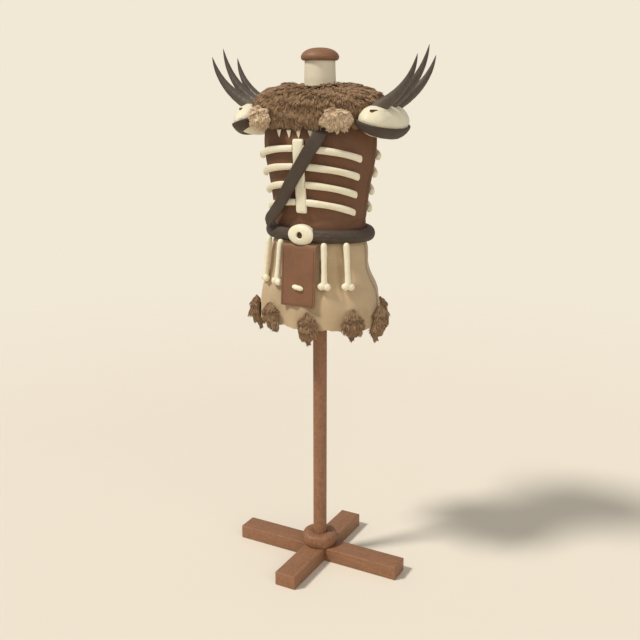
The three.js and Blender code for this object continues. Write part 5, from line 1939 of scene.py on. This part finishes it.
class ARMOUR_OT_stage(bpy.types.Operator):
    """Pale floor, soft studio light and the camera"""

    bl_idname = "armour.stage"
    bl_label = "Stage"

    def light(self, name, place, spread, strength, colour):
        """A wide distant light, as a large diffuser gives."""
        lamp = bpy.data.lights.new(name, "SUN")
        lamp.angle = math.radians(spread)
        lamp.energy = strength
        lamp.color = colour
        holder = bpy.data.objects.new(name, lamp)
        holder.location = place
        holder.rotation_euler = (-Vector(place)).to_track_quat("-Z", "Y").to_euler()
        bpy.context.scene.collection.objects.link(holder)

    def execute(self, context):
        stage = context.scene.armour_stage
        turn = math.radians(stage.azimuth)
        camera = bpy.data.objects.new("Camera", bpy.data.cameras.new("Camera"))
        camera.data.lens = stage.lens
        camera.data.sensor_width = 36
        camera.location = (stage.distance * math.sin(turn), -stage.distance * math.cos(turn), stage.height)
        camera.rotation_euler = (math.radians(90 - stage.pitch), 0, turn)
        context.scene.collection.objects.link(camera)
        context.scene.camera = camera

        reach = FLOOR_REACH
        corners = [(-reach, -reach, 0), (reach, -reach, 0), (reach, reach, 0), (-reach, reach, 0)]
        mesh = bpy.data.meshes.new("floor")
        mesh.from_pydata(corners, [], [(0, 1, 2, 3)])
        floor = bpy.data.objects.new("floor", mesh)
        context.scene.collection.objects.link(floor)
        made, tree, surface = new_finish("Floor", 0.95, Specular_IOR_Level=0.1)
        place = add_node(tree, "ShaderNodeTexCoord").outputs["Object"]
        away = add_node(tree, "ShaderNodeVectorMath", {0: place}, operation="LENGTH").outputs["Value"]
        tree.links.new(remap(tree, away, 1.6, 4.2, 1.0, 0.0), surface.inputs["Alpha"])
        grain = shared(
            tree, "mottle", Base=toned(stage.backdrop, 0.95), Dark=toned(stage.backdrop, 0.94),
            Light=toned(stage.backdrop, 0.96), Patch_Size=0.4, Fleck_Size=0.02, Amount=0.4,
        )["Color"]
        tree.links.new(grain, surface.inputs["Base Color"])
        mesh.materials.append(made)

        world = bpy.data.worlds.new("Surroundings")
        world.use_nodes = True
        tree = world.node_tree
        seen = tree.nodes["Background"]
        seen.inputs["Color"].default_value = (*stage.backdrop, 1)
        soft = {"Color": SOFT_COLOUR, "Strength": stage.ambient}
        lit = add_node(tree, "ShaderNodeBackground", soft)
        direct = add_node(tree, "ShaderNodeLightPath").outputs["Is Camera Ray"]
        views = {0: direct, 1: lit.outputs["Background"], 2: seen.outputs["Background"]}
        both = add_node(tree, "ShaderNodeMixShader", views)
        tree.links.new(both.outputs[0], tree.nodes["World Output"].inputs["Surface"])
        context.scene.world = world
        context.scene.view_settings.view_transform = "Standard"

        self.light("Key", KEY_FROM, KEY_SPREAD, stage.key, KEY_COLOUR)
        self.light("Fill", FILL_FROM, FILL_SPREAD, stage.fill, FILL_COLOUR)
        return {"FINISHED"}


class ARMOUR_PT_panel(bpy.types.Panel):
    """Lists the settings and the pieces"""

    bl_idname = "ARMOUR_PT_panel"
    bl_label = "Bone armour"
    bl_space_type = "VIEW_3D"
    bl_region_type = "UI"
    bl_category = "Armour"

    def draw(self, context):
        scene = context.scene
        for group in (scene.armour_colours, scene.armour_sizes, scene.armour_stage):
            box = self.layout.box()
            for name in group.bl_rna.properties.keys():
                if name not in ("rna_type", "name"):
                    box.prop(group, name)
        for operator in BUILD_ORDER:
            self.layout.operator(operator.bl_idname)


BUILD_ORDER = (
    ARMOUR_OT_stage,
    ARMOUR_OT_stand,
    ARMOUR_OT_form,
    ARMOUR_OT_vest,
    ARMOUR_OT_rib_cage,
    ARMOUR_OT_teeth,
    ARMOUR_OT_belt,
    ARMOUR_OT_straps,
    ARMOUR_OT_skirt,
    ARMOUR_OT_flap,
    ARMOUR_OT_hanging_bones,
    ARMOUR_OT_mantle,
    ARMOUR_OT_tufts,
    ARMOUR_OT_skulls,
    ARMOUR_OT_horns,
)
SETTINGS = {
    "armour_colours": ArmourColours,
    "armour_sizes": ArmourSizes,
    "armour_stage": StageSettings,
}


def register():
    for group in SETTINGS.values():
        bpy.utils.register_class(group)
    for name, group in SETTINGS.items():
        setattr(bpy.types.Scene, name, PointerProperty(type=group))
    for operator in BUILD_ORDER:
        bpy.utils.register_class(operator)
    bpy.utils.register_class(ARMOUR_PT_panel)


def unregister():
    bpy.utils.unregister_class(ARMOUR_PT_panel)
    for operator in reversed(BUILD_ORDER):
        bpy.utils.unregister_class(operator)
    for name, group in SETTINGS.items():
        delattr(bpy.types.Scene, name)
        bpy.utils.unregister_class(group)


def main():
    register()
    for operator in BUILD_ORDER:
        group, name = operator.bl_idname.split(".")
        getattr(getattr(bpy.ops, group), name)()


if __name__ == "__main__":
    main()
